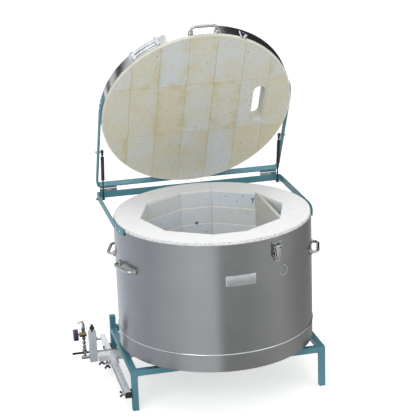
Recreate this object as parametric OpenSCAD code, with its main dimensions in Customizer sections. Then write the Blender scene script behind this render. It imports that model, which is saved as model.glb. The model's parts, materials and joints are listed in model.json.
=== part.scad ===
// Round top-loading gas kiln: a banded brick lid on gas struts, a brick chamber in a steel casing,
// a tube stand, and a burner set that slides on a rail at the left.
// Millimetres. +Z is up, -Y is the front. The origin is the middle of the footprint, on the floor.

/* [Casing] */
// Outside diameter of the steel jacket and floor pan
casing_d = 820; // [780:1:860]
// Thickness of the jacket and pan sheet
sheet_t = 1.5; // [1:0.1:3]
// Height of the floor pan, from its underside to the seam with the jacket
pan_h = 74; // [50:1:120]
// Radius of the bead that covers the seam
bead_r = 2.5; // [1.5:0.1:4]

/* [Chamber] */
// Distance from the jacket's outside in to the corners of the ten-sided chamber
lining = 106; // [98:1:118]
// Angle that each of the two short walls, front and back, takes up
short_wall = 26; // [22:1:36]
// Thickness of the wall bricks
brick_t = 76; // [64:1:80]
// Height of one course of wall bricks
course_h = 76; // [70:1:84]
// Open joint between two bricks of a course
brick_joint = 0.8; // [0.4:0.1:0.9]
// Thickness of the fibre board under the floor bricks
floor_board_t = 23; // [10:1:40]
// Thickness of the floor bricks
floor_brick_t = 64; // [50:1:76]
// Thickness of the white collar on top of the wall
collar_h = 12; // [8:1:20]
// Height that the collar stands above the jacket
collar_proud = 11; // [4:1:14]
// Distance from the jacket's outside to the collar's edge
collar_inset = 4; // [3:1:14]

/* [Baffle] */
// Thickness of the board that cuts off the flue channel
board_t = 15; // [10:1:25]
// Height of the gap under the board
board_gap = 60; // [40:1:100]
// Distance from the collar's top down to the board's top
board_drop = 3; // [1:1:10]

/* [Ports] */
// Angle of the peephole from +X
peephole_angle = -60.5; // [-72:0.5:-45]
// Height of the peephole above the floor
peephole_z = 588; // [480:1:620]
// Radius of the peephole plug
plug_r = 20; // [14:0.5:24]
// Length of the peephole plug
plug_l = 60; // [40:1:90]
// Height of the thermocouple port above the floor
probe_z = 598; // [480:1:620]
// Radius of the thermocouple port's bore
probe_bore_r = 6; // [4:0.5:9]
// Wall of the ceramic sleeves in both ports
sleeve_t = 3; // [2:0.5:5]
// Half the width of the square burner port through the floor
port_r = 35; // [28:1:45]

/* [Lid] */
// Distance from the jacket's outside in to the lid's steel band
lid_inset = 4.5; // [3:0.5:12]
// Thickness of the lid bricks
lid_t = 64; // [56:1:76]
// Angle that the lid stands open
lid_open = 61.5; // [45:0.5:70]
// Gap between the closed lid and the collar
lid_gap = 0.5; // [0.3:0.1:2]
// Width of the steel band
band_w = 50; // [44:1:52]
// Distance from the lid's face up to the band
band_lift = 12; // [6:1:14]
// Thickness of the steel band
band_t = 1.5; // [1:0.1:3]
// Thickness of the fibre strip inside the band
rim_t = 7; // [4:1:12]
// Width of one lid brick
lid_brick_w = 117; // [105:1:124]
// Length of one lid brick
lid_brick_l = 266; // [230:1:270]
// Distance that the middle row of lid bricks lies forward of the middle
lid_row_shift = 16; // [0:1:30]
// Distance from the baffle board's face out to the middle of the flue slot
slot_out = 24; // [20:1:28]
// Width of the flue slot
slot_w = 52; // [36:1:56]
// Length of the flue slot
slot_l = 198; // [120:1:220]
// Distance that the flue slot lies forward of the middle
slot_shift = 10; // [0:1:20]

/* [Hinge frames] */
// Height of the flat bar of both frames
bar_h = 28; // [24:1:32]
// Thickness of the flat bar
bar_t = 6; // [4:0.5:8]
// Outside radius of the bent corners
bend_r = 18; // [12:1:30]
// Height of the hinge axis above the collar
hinge_rise = 10; // [8:1:20]
// Distance from the hinge axis to the edge of each bar
hinge_gap = 9; // [8:0.5:14]
// Distance from the jacket's side in to the middle of each butt hinge
hinge_in = 48; // [45:1:110]
// Length of a butt hinge
hinge_l = 75; // [50:1:80]
// Outside radius of the hinge knuckles
knuckle_r = 5; // [4:0.5:6]
// Radius of the hinge pins
hinge_pin_r = 2.5; // [2:0.1:3]
// Thickness of the hinge leaves
leaf_t = 2; // [1.5:0.1:3]
// Angle that the rear frame's ends follow the jacket
rear_tail = 17; // [14:1:25]
// Angle that the lid frame's ends follow the band
lid_tail = 12; // [11:1:20]

/* [Gas struts] */
// Distance from the jacket's side in to the middle of each strut
strut_in = 18; // [17:1:22]
// Distance from the hinge axis forward to the strut's lower stud
strut_low_y = 39; // [30:1:60]
// Distance from the hinge axis down to the strut's lower stud
strut_low_z = 30; // [22:1:32]
// Distance along the lid from the hinge axis to the upper stud
strut_high_y = 205; // [190:1:220]
// Radius of the strut cylinder
strut_r = 7.5; // [6.5:0.5:10]
// Length of the strut cylinder
strut_l = 105; // [90:1:110]
// Radius of the strut rod
rod_r = 3; // [2.5:0.5:4.5]
// Radius of the strut studs
stud_r = 4; // [3:0.5:5]

/* [Handles] */
// Angle of each side handle from the X axis
handle_angle = 17.5; // [12:0.5:30]
// Height of the side handles above the floor
handle_z = 587; // [500:1:640]
// Distance between the feet of a side handle
handle_span = 130; // [90:1:160]
// Distance that a side handle stands out from the jacket
handle_reach = 26; // [24:1:45]
// Distance between the feet of the lid handle
lid_handle_span = 110; // [90:1:160]
// Distance that the lid handle stands out from the band
lid_handle_reach = 27; // [24:1:45]
// Distance from the lid's face to the lid handle
lid_handle_lift = 26; // [26:1:36]
// Radius of the handle bar
grip_r = 6; // [4:0.5:8]
// Radius of the bends in the handle bar, at its middle
grip_bend = 22; // [12:1:24]
// Radius of the handle feet
foot_r = 13; // [9:0.5:13.5]

/* [Latch] */
// Angle of the latch from +X
latch_angle = -66; // [-75:1:-62]
// Distance from the jacket's top down to the latch plate's top
latch_drop = 16; // [10:1:40]
// Width of the latch plate
latch_w = 44; // [36:1:56]
// Height of the latch plate
latch_h = 62; // [54:1:80]
// Distance from the jacket to the lever's pivot
latch_out = 9; // [9:0.5:14]
// Length of the wire bail
bail_l = 60; // [50:1:66]
// Radius of the bail wire
bail_r = 1.75; // [1.5:0.25:2]

/* [Stand] */
// Width of the stand over its legs
stand_w = 824; // [790:1:860]
// Distance from the kiln's axis to the front of the stand
stand_front = 231; // [210:1:280]
// Distance from the kiln's axis to the back of the stand
stand_rear = 285; // [260:1:320]
// Height of the rails' top above the floor
stand_h = 178; // [165:1:260]
// Height of the two rear posts
post_h = 226; // [205:1:280]
// Outside width of the square tube
tube_w = 25; // [20:1:35]
// Wall of the square tube
tube_t = 2; // [1.5:0.1:3]
// Distance from the kiln's axis to the middle of each bearer
bearer_x = 280; // [250:1:320]
// Thickness of the plastic plugs in the tube ends
plug_t = 4; // [2:0.5:8]

/* [Burner rail] */
// Length of the rail
rail_l = 623; // [560:1:700]
// Distance that the rail runs past the front legs
rail_front = 7; // [2:1:30]
// Height of the rail's underside above the floor
rail_z = 66; // [60:1:70]
// Gap between the left legs and the rail
rail_gap = 6; // [4:1:12]

/* [Burner] */
// Distance of the burner and its bracket behind the kiln's axis
burner_y = 150; // [120:1:165]
// Distance of the burner to the left of the kiln's axis
burner_x = 200; // [150:1:215]
// Width of the cross bracket
bracket_w = 65; // [60:1:75]
// Height of the cross bracket's lips
lip_h = 25; // [22:1:28]
// Thickness of the bracket sheet
bracket_t = 2; // [1.5:0.1:3]
// Radius of the gas pipe
pipe_r = 6; // [5:0.5:7]
// Width of the valve plate
plate_w = 32; // [28:1:40]
// Height of the valve plate
plate_h = 139; // [125:1:160]
// Distance from the valve plate to the middle of the valve stack
stack_gap = 21; // [19:1:26]
// Radius of the gas knob
knob_r = 25; // [18:1:28]
// Thickness of the gas knob
knob_t = 20; // [14:1:26]
// Length of the lever's long arm
lever_l = 56; // [44:1:60]

/* [Hidden] */
$fn = 72;

// Small clearances
run_gap = 0.05;
seat_gap = 0.3;
screw_gap = 0.1;

// The handles' grips and legs are this much thicker than their bends, and lap over them
grip_swell = 1;
grip_lap = 1.5;

// Levels
casing_r = casing_d / 2;
chamber_r = casing_r - lining;
pan_z = stand_h + tube_w;
seam_z = pan_z + pan_h;
pan_plate_t = 2;
chamber_z = pan_z + pan_plate_t + floor_board_t + floor_brick_t;
courses = 6;
collar_top = chamber_z + courses * course_h;
casing_top = collar_top - collar_proud;
fill_r = casing_r - sheet_t - seat_gap;

// Chamber corners: eight long walls and two short ones
walls = 10;
long_wall = (360 - 2 * short_wall) / (walls - 2);
function short_walls_before(i) = (i > 2 ? 1 : 0) + (i > 7 ? 1 : 0);
function corner_angle(i) = i * long_wall + short_walls_before(i) * (short_wall - long_wall);
function wall_angle(i) = (corner_angle(i) + corner_angle(i + 1)) / 2;
function wall_half(i) = (corner_angle(i + 1) - corner_angle(i)) / 2;
function wall_distance(i) = chamber_r * cos(wall_half(i));
function mitre_slope(i, j) = tan((wall_half(i) + wall_half(j)) / 2);
function corner(i) = chamber_r * [cos(corner_angle(i)), sin(corner_angle(i))];
short_index = 2;
peephole_wall = short_index + 6;

// Lid and hinge
lid_r = casing_r - lid_inset;
slot_x = corner(1)[0] + slot_out;
lid_face = collar_top + lid_gap;
lid_top = lid_face + lid_t;
rim_r = lid_r - band_t;
lid_brick_r = rim_r - rim_t - seat_gap;
frame_y = casing_r + 1;
bar_back = frame_y + bar_t;
hinge_y = bar_back + knuckle_r - leaf_t;
hinge_z = collar_top + hinge_rise;
hinge_x = casing_r - hinge_in;
rear_bar_z = hinge_z - hinge_gap - bar_h;
lid_bar_z = hinge_z + hinge_gap;
rear_arm_x = casing_r + seat_gap;
lid_arm_x = lid_r + seat_gap;

// Struts: the lower stud, the upper stud with the lid open, and the line between them
strut_x = casing_r - strut_in;
strut_low = [hinge_y - strut_low_y, hinge_z - strut_low_z];
strut_high_z = hinge_gap + bar_h / 2;
strut_high = [
    hinge_y - strut_high_y * cos(lid_open) + strut_high_z * sin(lid_open),
    hinge_z + strut_high_y * sin(lid_open) + strut_high_z * cos(lid_open)
];
strut_run = strut_high - strut_low;
strut_open = norm(strut_run);
strut_lean = atan2(-strut_run[0], strut_run[1]);
eye_r = 8;
eye_t = 10;
strut_neck = 28;
rod_in = 30;
nut_r = 7;
nut_t = 6;

// Burner set
rail_right = -stand_w / 2 - rail_gap;
rail_left = rail_right - tube_w;
rail_top = rail_z + tube_w;
rail_y = -stand_front - rail_front;
pipe_z = rail_top + pipe_r + 1.5;
bracket_top = pipe_z + pipe_r + 1.5 + bracket_t;
bracket_left = rail_left - 50;
plate_right = bracket_left - seat_gap;
plate_left = plate_right - plate_w;
plate_z = bracket_top - 32;
plate_top = plate_z + plate_h;
plate_d = 30;
stack_x = plate_left - stack_gap;
valve_z = pipe_z + 28;
needle_z = valve_z + 78;
button_stem_r = 3;
button_x = plate_left + plate_w / 2;
wing_y = burner_y - bracket_w / 2 + 14;
wing_r = 14;
screw_r = 4;
strap_t = 6;
clamp_x = rail_left - 11;
foot_x = bracket_left + 15;
knob_face = stack_x - 24;
hose_r = 4.5;
hose_turn = 115;

// The middle of the footprint, from the farthest points left, right, front and back
reach_left = -stack_x + lever_l;
handle_out = casing_r + handle_reach;
grip_half = handle_span / 2 - grip_bend;
bend_reach = (handle_out - grip_bend) * cos(handle_angle) + grip_half * sin(handle_angle)
    + grip_bend + grip_r;
grip_reach = (handle_out + grip_r + grip_swell) * cos(handle_angle)
    + (grip_half + grip_lap) * sin(handle_angle);
reach_right = max(bend_reach, grip_reach);
reach_front = casing_r + bead_r;
reach_back = hinge_y + (rim_r - hinge_y) * cos(lid_open) + (lid_top - hinge_z) * sin(lid_open);
kiln_axis = [(reach_left - reach_right) / 2, (reach_front - reach_back) / 2, 0];

// Latch: one pin carries the lever between the ears and the bail outside them
latch_t = 3;
latch_top = casing_top - latch_drop;
pivot_z = latch_top - 20;
pivot_x = casing_r + latch_out;
pivot_r = 2.5;
lever_w = 22;
ear_t = 2;
bail_half = lever_w / 2 + ear_t + 2 * seat_gap + 2 * bail_r;
bail_end = lever_w / 4 + 2;

teal = [0.33, 0.53, 0.56];
steel = [0.58, 0.59, 0.61];
bright = [0.82, 0.83, 0.85];
galvanised = [0.78, 0.80, 0.83];
brick_colour = [0.86, 0.84, 0.78];
white = [0.95, 0.95, 0.94];
black = [0.08, 0.08, 0.09];
brass = [0.72, 0.58, 0.32];

// Places: round the kiln's axis, and on the open lid
module on_kiln() {
    translate(kiln_axis) children();
}

module on_lid() {
    on_kiln()
        translate([0, hinge_y, hinge_z])
            rotate([-lid_open, 0, 0])
                translate([0, -hinge_y, -hinge_z])
                    children();
}

module around(angle, r, z) {
    rotate([0, 0, angle]) translate([r, 0, z]) children();
}

// Shapes used again
module along_x(r, l) {
    rotate([0, 90, 0]) cylinder(r = r, h = l);
}

module along_y(r, l) {
    rotate([-90, 0, 0]) cylinder(r = r, h = l);
}

module ring(outer, inner, h) {
    difference() {
        cylinder(r = outer, h = h);
        translate([0, 0, -1]) cylinder(r = inner, h = h + 2);
    }
}

module square_tube(l) {
    difference() {
        cube([tube_w, tube_w, l]);
        translate([tube_t, tube_t, -1]) cube([tube_w - 2 * tube_t, tube_w - 2 * tube_t, l + 2]);
    }
}

module chamber_outline() {
    polygon([for (i = [0:walls - 1]) corner(i)]);
}

// One wall's share of the lining, between two depths behind its face, mitred at both ends
module wall_share(i, near, far) {
    before = mitre_slope(i, (i + walls - 1) % walls);
    after = mitre_slope(i, (i + 1) % walls);
    half = chamber_r * sin(wall_half(i)) - brick_joint / 2;
    rotate(wall_angle(i))
        translate([wall_distance(i), 0])
            polygon([
                [near, -half - near * before],
                [far, -half - far * before],
                [far, half + far * after],
                [near, half + near * after]
            ]);
}

// Bores through the wall for the two sleeves
module wall_ports(gap) {
    around(peephole_angle, wall_distance(peephole_wall) - chamber_r / 4, peephole_z)
        along_x(plug_r + sleeve_t + gap, casing_r / 2);
    around(90, wall_distance(short_index) - chamber_r / 4, probe_z)
        along_x(probe_bore_r + sleeve_t + gap, casing_r / 2);
}

// The square port through the floor, and the joints beside it that run to the back from front_y
module burner_port(z, h, front_y) {
    left = -burner_x - port_r;
    translate([left, burner_y - port_r, z - 1]) cube([2 * port_r, 2 * port_r, h + 2]);
    for (x = [left - brick_joint, left + 2 * port_r]) {
        translate([x, front_y, z - 1]) cube([brick_joint, 2 * casing_r, h + 2]);
    }
}

// Bricks side by side under a round outline, in rows of three, one column standing at the given x
module brick_rows(r, z, h, shift, x) {
    columns = 6;
    for (row = [-1:1], column = [-columns:columns]) {
        low = row < 0 ? -r : shift - lid_brick_l / 2 + row * lid_brick_l;
        high = row > 0 ? r : shift + lid_brick_l / 2 + row * lid_brick_l;
        intersection() {
            translate([0, 0, z]) cylinder(r = r, h = h);
            translate([x + (column - 0.5) * lid_brick_w + brick_joint / 2, low + brick_joint / 2, z])
                cube([lid_brick_w - brick_joint, high - low - brick_joint, h]);
        }
    }
}

// A flat bar bent to a U, whose ends follow a round body
module bent_frame(arm_x, tail, z) {
    corner_x = arm_x + bar_t - bend_r;
    corner_y = bar_back - bend_r;
    translate([-corner_x, frame_y, z]) cube([2 * corner_x, bar_t, bar_h]);
    for (side = [0, 1]) {
        mirror([side, 0, 0]) {
            translate([arm_x, 0, z]) cube([bar_t, corner_y, bar_h]);
            translate([corner_x, corner_y, z])
                rotate_extrude(angle = 90)
                    translate([bend_r - bar_t, 0]) square([bar_t, bar_h]);
            translate([0, 0, z])
                mirror([0, 1, 0])
                    rotate_extrude(angle = tail)
                        translate([arm_x, 0]) square([bar_t, bar_h]);
        }
    }
}

// Cross holes for the strut studs through both arms of a frame
module stud_holes(y, z) {
    translate([-casing_d, y, z]) along_x(stud_r + screw_gap, 2 * casing_d);
}

// Two domed screws in each end of a frame
module tail_screws(arm_x, tail, z) {
    for (side = [0, 1], share = [0.42, 0.76]) {
        mirror([side, 0, 0])
            around(-tail * share, arm_x + bar_t, z + bar_h / 2)
                intersection() {
                    along_x(4.5, 3);
                    translate([-3, 0, 0]) sphere(r = 6);
                }
    }
}

// A butt hinge's leaf with its knuckles: up is 1 for the lid's leaf and -1 for the rear frame's
module hinge_leaf(up) {
    third = hinge_l / 3;
    free = knuckle_r + 0.5;
    leaf_h = bar_h + hinge_gap - 4;
    for (side = [-1, 1]) {
        translate([side * hinge_x, hinge_y, hinge_z]) {
            scale_up = up > 0 ? free : -leaf_h;
            translate([-hinge_l / 2, bar_back - hinge_y, scale_up]) cube([hinge_l, leaf_t, leaf_h - free]);
            for (place = up > 0 ? [0] : [-1, 1]) {
                translate([place * third - third / 2 + seat_gap / 2, 0, 0])
                    difference() {
                        union() {
                            along_x(knuckle_r, third - seat_gap);
                            translate([0, bar_back - hinge_y, up > 0 ? 0 : -free])
                                cube([third - seat_gap, leaf_t, free]);
                        }
                        translate([-1, 0, 0]) along_x(hinge_pin_r + (up > 0 ? run_gap : 0), third + 2);
                    }
            }
        }
    }
}

// A bow handle on a round body: two legs, two bends, a straight grip and two flat feet
module bow_handle(body_r, span, reach) {
    out = body_r + reach;
    turn = asin(span / 2 / body_r);
    leg_x = body_r * cos(turn) + 1.5;
    grip_l = span - 2 * grip_bend + 2 * grip_lap;
    translate([out, -grip_l / 2, 0]) along_y(grip_r + grip_swell, grip_l);
    for (side = [0, 1]) {
        mirror([0, side, 0]) {
            translate([leg_x, span / 2, 0])
                along_x(grip_r + 1.5 * grip_swell, out - grip_bend + grip_lap - leg_x);
            translate([out - grip_bend, span / 2 - grip_bend, 0])
                rotate_extrude(angle = 90) translate([grip_bend, 0]) circle(r = grip_r);
            rotate([0, 0, turn]) translate([body_r, 0, 0]) along_x(foot_r, 5);
        }
    }
}

// A wing screw, standing on its point: the shank goes up from the hub
module wing_screw(l) {
    cylinder(r = screw_r, h = l);
    translate([0, 0, -11]) cylinder(r = 7, h = 11);
    translate([0, 1.5, -5])
        rotate([90, 0, 0])
            linear_extrude(3)
                for (side = [0, 1]) {
                    mirror([side, 0]) {
                        polygon([[0, 5], [0, -6], [wing_r - 4, -14], [wing_r - 1, -7]]);
                        translate([wing_r - 5, -10]) circle(r = 5);
                    }
                }
}

// Stand
module stand_legs() {
    color(teal)
        on_kiln()
            for (x = [0, 1], y = [0, 1]) {
                h = (y == 0 ? stand_h : post_h) - 2 * plug_t;
                difference() {
                    translate([
                        x == 0 ? -stand_w / 2 : stand_w / 2 - tube_w,
                        y == 0 ? -stand_front : stand_rear - tube_w,
                        plug_t
                    ])
                        square_tube(h);
                    rail_screw_holes();
                }
            }
}

module stand_rails() {
    span_x = stand_w - 2 * tube_w;
    span_y = stand_front + stand_rear - 2 * tube_w;
    color(teal)
        on_kiln() {
            for (y = [-stand_front, stand_rear - tube_w]) {
                translate([-span_x / 2, y, stand_h])
                    rotate([0, 90, 0]) square_tube(span_x);
            }
            for (x = [-stand_w / 2, stand_w / 2 - tube_w]) {
                translate([x, stand_rear - tube_w, stand_h - tube_w])
                    rotate([90, 0, 0]) square_tube(span_y);
            }
        }
}

module stand_bearers() {
    color(teal)
        on_kiln()
            for (x = [-bearer_x, bearer_x]) {
                translate([x - tube_w / 2, stand_rear, stand_h])
                    rotate([90, 0, 0]) square_tube(stand_front + stand_rear);
            }
}

module leg_plugs() {
    inside = tube_w - 2 * tube_t - 2 * seat_gap;
    color(black)
        on_kiln()
            for (x = [0, 1], y = [0, 1], end = [0, 1]) {
                top = y == 0 ? stand_h : post_h;
                translate([
                    x == 0 ? -stand_w / 2 : stand_w / 2 - tube_w,
                    y == 0 ? -stand_front : stand_rear - tube_w,
                    end == 0 ? 0 : top - plug_t
                ]) {
                    cube([tube_w, tube_w, plug_t]);
                    translate([tube_t + seat_gap, tube_t + seat_gap, end == 0 ? plug_t : -8])
                        cube([inside, inside, 8]);
                }
            }
}

// Casing and lining
module floor_pan() {
    color(steel)
        on_kiln()
            difference() {
                translate([0, 0, pan_z]) cylinder(r = casing_r, h = pan_h);
                translate([0, 0, pan_z + pan_plate_t]) cylinder(r = casing_r - sheet_t, h = pan_h);
                translate([-burner_x, burner_y, pan_z - 1]) cylinder(r = port_r, h = pan_plate_t + 2);
            }
}

module seam_bead() {
    color(bright)
        on_kiln()
            translate([0, 0, seam_z])
                rotate_extrude()
                    intersection() {
                        translate([casing_r, 0]) circle(r = bead_r);
                        translate([casing_r, -bead_r]) square([bead_r, 2 * bead_r]);
                    }
}

module casing() {
    color(steel)
        on_kiln()
            difference() {
                translate([0, 0, seam_z]) ring(casing_r, casing_r - sheet_t, casing_top - seam_z);
                wall_ports(seat_gap);
            }
}

// Four sheets of board, laid round the port
module floor_board() {
    color(white)
        on_kiln()
            difference() {
                translate([0, 0, pan_z + pan_plate_t]) cylinder(r = fill_r, h = floor_board_t);
                burner_port(pan_z + pan_plate_t, floor_board_t, -casing_r);
            }
}

// Rows of bricks whose middle row ends at the port, with the brick behind it cut to fit
module floor_bricks() {
    z = chamber_z - floor_brick_t;
    front_y = burner_y - port_r;
    color(brick_colour)
        on_kiln()
            difference() {
                brick_rows(fill_r, z, floor_brick_t, front_y - lid_brick_l / 2, -burner_x);
                burner_port(z, floor_brick_t, front_y);
            }
}

// Ten fibre batts, one behind each wall
module blanket() {
    h = courses * course_h - collar_h;
    color(white)
        on_kiln()
            for (i = [0:walls - 1]) {
                difference() {
                    intersection() {
                        translate([0, 0, chamber_z]) cylinder(r = fill_r, h = h);
                        translate([0, 0, chamber_z]) linear_extrude(h) wall_share(i, brick_t, casing_r);
                    }
                    wall_ports(seat_gap);
                }
            }
}

module course(number) {
    h = number == courses ? course_h - collar_h : course_h;
    color(brick_colour)
        on_kiln()
            difference() {
                translate([0, 0, chamber_z + (number - 1) * course_h])
                    for (i = [0:walls - 1]) {
                        linear_extrude(h) wall_share(i, 0, brick_t);
                    }
                wall_ports(seat_gap);
            }
}

module course_1() {
    course(1);
}

module course_2() {
    course(2);
}

module course_3() {
    course(3);
}

module course_4() {
    course(4);
}

module course_5() {
    course(5);
}

module course_6() {
    course(6);
}

// The white ring on the wall, split once at the back
module collar() {
    split = 0.6;
    color(white)
        on_kiln()
            difference() {
                translate([0, 0, collar_top - collar_h]) cylinder(r = casing_r - collar_inset, h = collar_h);
                translate([0, 0, collar_top - collar_h - 1]) linear_extrude(collar_h + 2) chamber_outline();
                around(corner_angle(short_index), 0, collar_top - collar_h - 1)
                    translate([0, -split / 2, 0]) cube([casing_r, split, collar_h + 2]);
            }
}

// The board stands between the corners on both sides of +X, with its ends cut to the walls
module baffle_board() {
    near = corner(1)[0];
    half = corner(1)[1];
    far_half = half * (chamber_r - near - board_t) / (chamber_r - near);
    color(white)
        on_kiln()
            translate([0, 0, chamber_z + board_gap])
                linear_extrude(collar_top - board_drop - chamber_z - board_gap)
                    polygon([
                        [near, -half + 2 * seat_gap],
                        [near + board_t, -far_half + 2 * seat_gap],
                        [near + board_t, far_half - 2 * seat_gap],
                        [near, half - 2 * seat_gap]
                    ]);
}

module baffle_props() {
    prop = 40;
    color(brick_colour)
        on_kiln()
            for (side = [-1, 1]) {
                translate([corner(1)[0], side * prop * 2 - prop / 2, chamber_z])
                    cube([board_t, prop, board_gap]);
            }
}

// Bent wire clips on the walls, just ahead of the board's ends
module baffle_clips() {
    wire = 1.5;
    leg = 12;
    color(black)
        on_kiln()
            for (side = [0, 1]) {
                mirror([0, side, 0])
                    around(wall_angle(1), wall_distance(1) - wire, collar_top - course_h / 2)
                        translate([0, -chamber_r * sin(wall_half(1)) + leg, 0]) {
                            for (lean = [-35, 35, 180]) {
                                rotate([lean, 0, 0]) cylinder(r = wire, h = leg);
                            }
                            sphere(r = wire);
                        }
            }
}

module peephole_sleeve() {
    start = wall_distance(peephole_wall) + 4;
    color(white)
        on_kiln()
            around(peephole_angle, start, peephole_z)
                difference() {
                    along_x(plug_r + sleeve_t, casing_r - 2 - start);
                    translate([-1, 0, 0]) along_x(plug_r + seat_gap, casing_r);
                }
}

module peephole_plug() {
    color(steel)
        on_kiln()
            around(peephole_angle, casing_r - 2 - plug_l, peephole_z)
                difference() {
                    along_x(plug_r, plug_l);
                    translate([plug_l - 2, 0, 0]) along_x(plug_r - 5, 3);
                }
}

module probe_sleeve() {
    start = wall_distance(short_index) + 1;
    color(white)
        on_kiln()
            translate([0, start, probe_z])
                difference() {
                    along_y(probe_bore_r + sleeve_t, casing_r + 15 - start);
                    translate([0, -1, 0]) along_y(probe_bore_r, casing_r);
                }
}

// Two handles at each side, one ahead of the X axis and one behind it
module side_handles() {
    color(bright)
        on_kiln()
            for (angle = [handle_angle, -handle_angle, 180 - handle_angle, 180 + handle_angle]) {
                around(angle, 0, handle_z) bow_handle(casing_r, handle_span, handle_reach);
            }
}

// Rear frame and hinges
module rear_frame() {
    color(teal)
        on_kiln()
            difference() {
                bent_frame(rear_arm_x, rear_tail, rear_bar_z);
                stud_holes(strut_low[0], strut_low[1]);
            }
}

module rear_frame_screws() {
    color(bright) on_kiln() tail_screws(rear_arm_x, rear_tail, rear_bar_z);
}

module hinge_leaves_lower() {
    color(bright)
        on_kiln() {
            hinge_leaf(-1);
            for (side = [-1, 1]) {
                translate([side * hinge_x - hinge_l / 2, hinge_y, hinge_z]) along_x(hinge_pin_r, hinge_l);
            }
        }
}

// Each stud goes through its arm: a nut outside, a shoulder inside, and a pin for the strut's eye
module strut_stud(arm_x, end_x) {
    for (side = [0, 1]) {
        mirror([side, 0, 0]) {
            translate([end_x, 0, 0]) along_x(stud_r, arm_x + bar_t + nut_t + 4 - end_x);
            translate([arm_x + bar_t, 0, 0]) rotate([0, 90, 0]) cylinder(r = nut_r, h = nut_t, $fn = 6);
            translate([arm_x - 4, 0, 0]) along_x(nut_r, 4);
        }
    }
}

module strut_studs_lower() {
    color(bright)
        on_kiln()
            translate([0, strut_low[0], strut_low[1]]) strut_stud(rear_arm_x, strut_x - eye_t / 2 - 2);
}

module strut_studs_upper() {
    color(bright)
        on_kiln()
            translate([0, strut_high[0], strut_high[1]])
                rotate([-lid_open, 0, 0])
                    strut_stud(lid_arm_x, strut_x + eye_t / 2 + seat_gap);
}

// Gas struts, drawn along their own line from the lower stud
module on_strut(side) {
    on_kiln()
        translate([side * strut_x, strut_low[0], strut_low[1]])
            rotate([strut_lean, 0, 0])
                children();
}

module strut_rod(side) {
    rod_top = strut_open - strut_neck - strut_l + rod_in;
    color(bright)
        on_strut(side)
            difference() {
                union() {
                    translate([-eye_t / 2, 0, 0]) along_x(eye_r, eye_t);
                    cylinder(r = rod_r, h = rod_top);
                }
                translate([-eye_t, 0, 0]) along_x(stud_r + run_gap, 2 * eye_t);
            }
}

module strut_cylinder(side) {
    low = strut_open - strut_neck - strut_l;
    color(black)
        on_strut(side)
            difference() {
                union() {
                    translate([0, 0, low]) cylinder(r = strut_r, h = strut_l);
                    translate([0, 0, low + strut_l - 2]) cylinder(r = strut_r / 2, h = strut_neck + 2);
                    translate([-eye_t / 2, 0, strut_open]) along_x(eye_r, eye_t);
                }
                translate([0, 0, low - 1]) cylinder(r = rod_r + run_gap, h = strut_l - 8);
            }
}

module strut_rod_left() {
    strut_rod(-1);
}

module strut_rod_right() {
    strut_rod(1);
}

module strut_cylinder_left() {
    strut_cylinder(-1);
}

module strut_cylinder_right() {
    strut_cylinder(1);
}

// Latch on the jacket: a plate with ears, a lever and a hanging wire bail on one pin
module on_latch() {
    on_kiln() rotate([0, 0, latch_angle]) children();
}

module latch_base() {
    pin_half = bail_half + bail_r + 2;
    color(bright)
        on_latch() {
            translate([casing_r, -latch_w / 2, latch_top - latch_h]) cube([latch_t, latch_w, latch_h]);
            for (side = [-1, 1]) {
                ear_y = side * (lever_w / 2 + seat_gap + ear_t / 2) - ear_t / 2;
                translate([casing_r + 1, ear_y, pivot_z - 9]) cube([latch_out + 4, ear_t, 18]);
            }
            translate([pivot_x, -pin_half, pivot_z]) along_y(pivot_r, 2 * pin_half);
        }
}

module latch_block() {
    color(black)
        on_latch()
            translate([casing_r + latch_t, -latch_w / 2, latch_top - latch_h + 2])
                cube([3, latch_w / 2 - 4, 29]);
}

module latch_lever() {
    color(bright)
        on_latch()
            difference() {
                union() {
                    translate([pivot_x, -lever_w / 2, pivot_z]) along_y(5, lever_w);
                    translate([pivot_x - 1, 0, pivot_z])
                        rotate([90, 0, 90])
                            linear_extrude(3)
                                polygon([
                                    [-lever_w / 2, 0],
                                    [-lever_w / 4, 18 - latch_h],
                                    [lever_w / 4, 18 - latch_h],
                                    [lever_w / 2, 0]
                                ]);
                }
                translate([pivot_x, -lever_w, pivot_z]) along_y(pivot_r + run_gap, 2 * lever_w);
            }
}

// The bail's eyes turn on the pin outside the ears, and its legs draw together to a short bar
module latch_bail() {
    lean = atan2(bail_half - bail_end, bail_l);
    leg = norm([bail_half - bail_end, bail_l]);
    color(bright)
        on_latch()
            translate([pivot_x, 0, pivot_z])
                difference() {
                    union() {
                        for (side = [0, 1]) {
                            mirror([0, side, 0]) {
                                translate([0, bail_half - bail_r - 0.2, 0])
                                    along_y(pivot_r + 2.5, 2 * bail_r + 0.4);
                                translate([0, bail_half, 0])
                                    rotate([180 - lean, 0, 0]) cylinder(r = bail_r, h = leg);
                                translate([0, bail_end, -bail_l]) sphere(r = bail_r + 0.4);
                            }
                        }
                        translate([0, -bail_end, -bail_l]) along_y(bail_r, 2 * bail_end);
                    }
                    translate([0, -latch_w, 0]) along_y(pivot_r + run_gap, 2 * latch_w);
                }
}

// Lid
module lid_bricks() {
    color(brick_colour)
        on_lid()
            difference() {
                brick_rows(lid_brick_r, lid_face, lid_t, -lid_row_shift, 0);
                translate([slot_x, -slot_shift, lid_face - 1])
                    linear_extrude(lid_t + 2) {
                        square([slot_w, slot_l - slot_w], center = true);
                        for (side = [-1, 1]) {
                            translate([0, side * (slot_l - slot_w) / 2]) circle(r = slot_w / 2);
                        }
                    }
            }
}

module lid_rim() {
    color(white)
        on_lid()
            translate([0, 0, lid_face]) ring(rim_r, rim_r - rim_t, lid_t);
}

module lid_band() {
    color(bright)
        on_lid()
            translate([0, 0, lid_face + band_lift]) ring(lid_r, rim_r, band_w);
}

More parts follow.
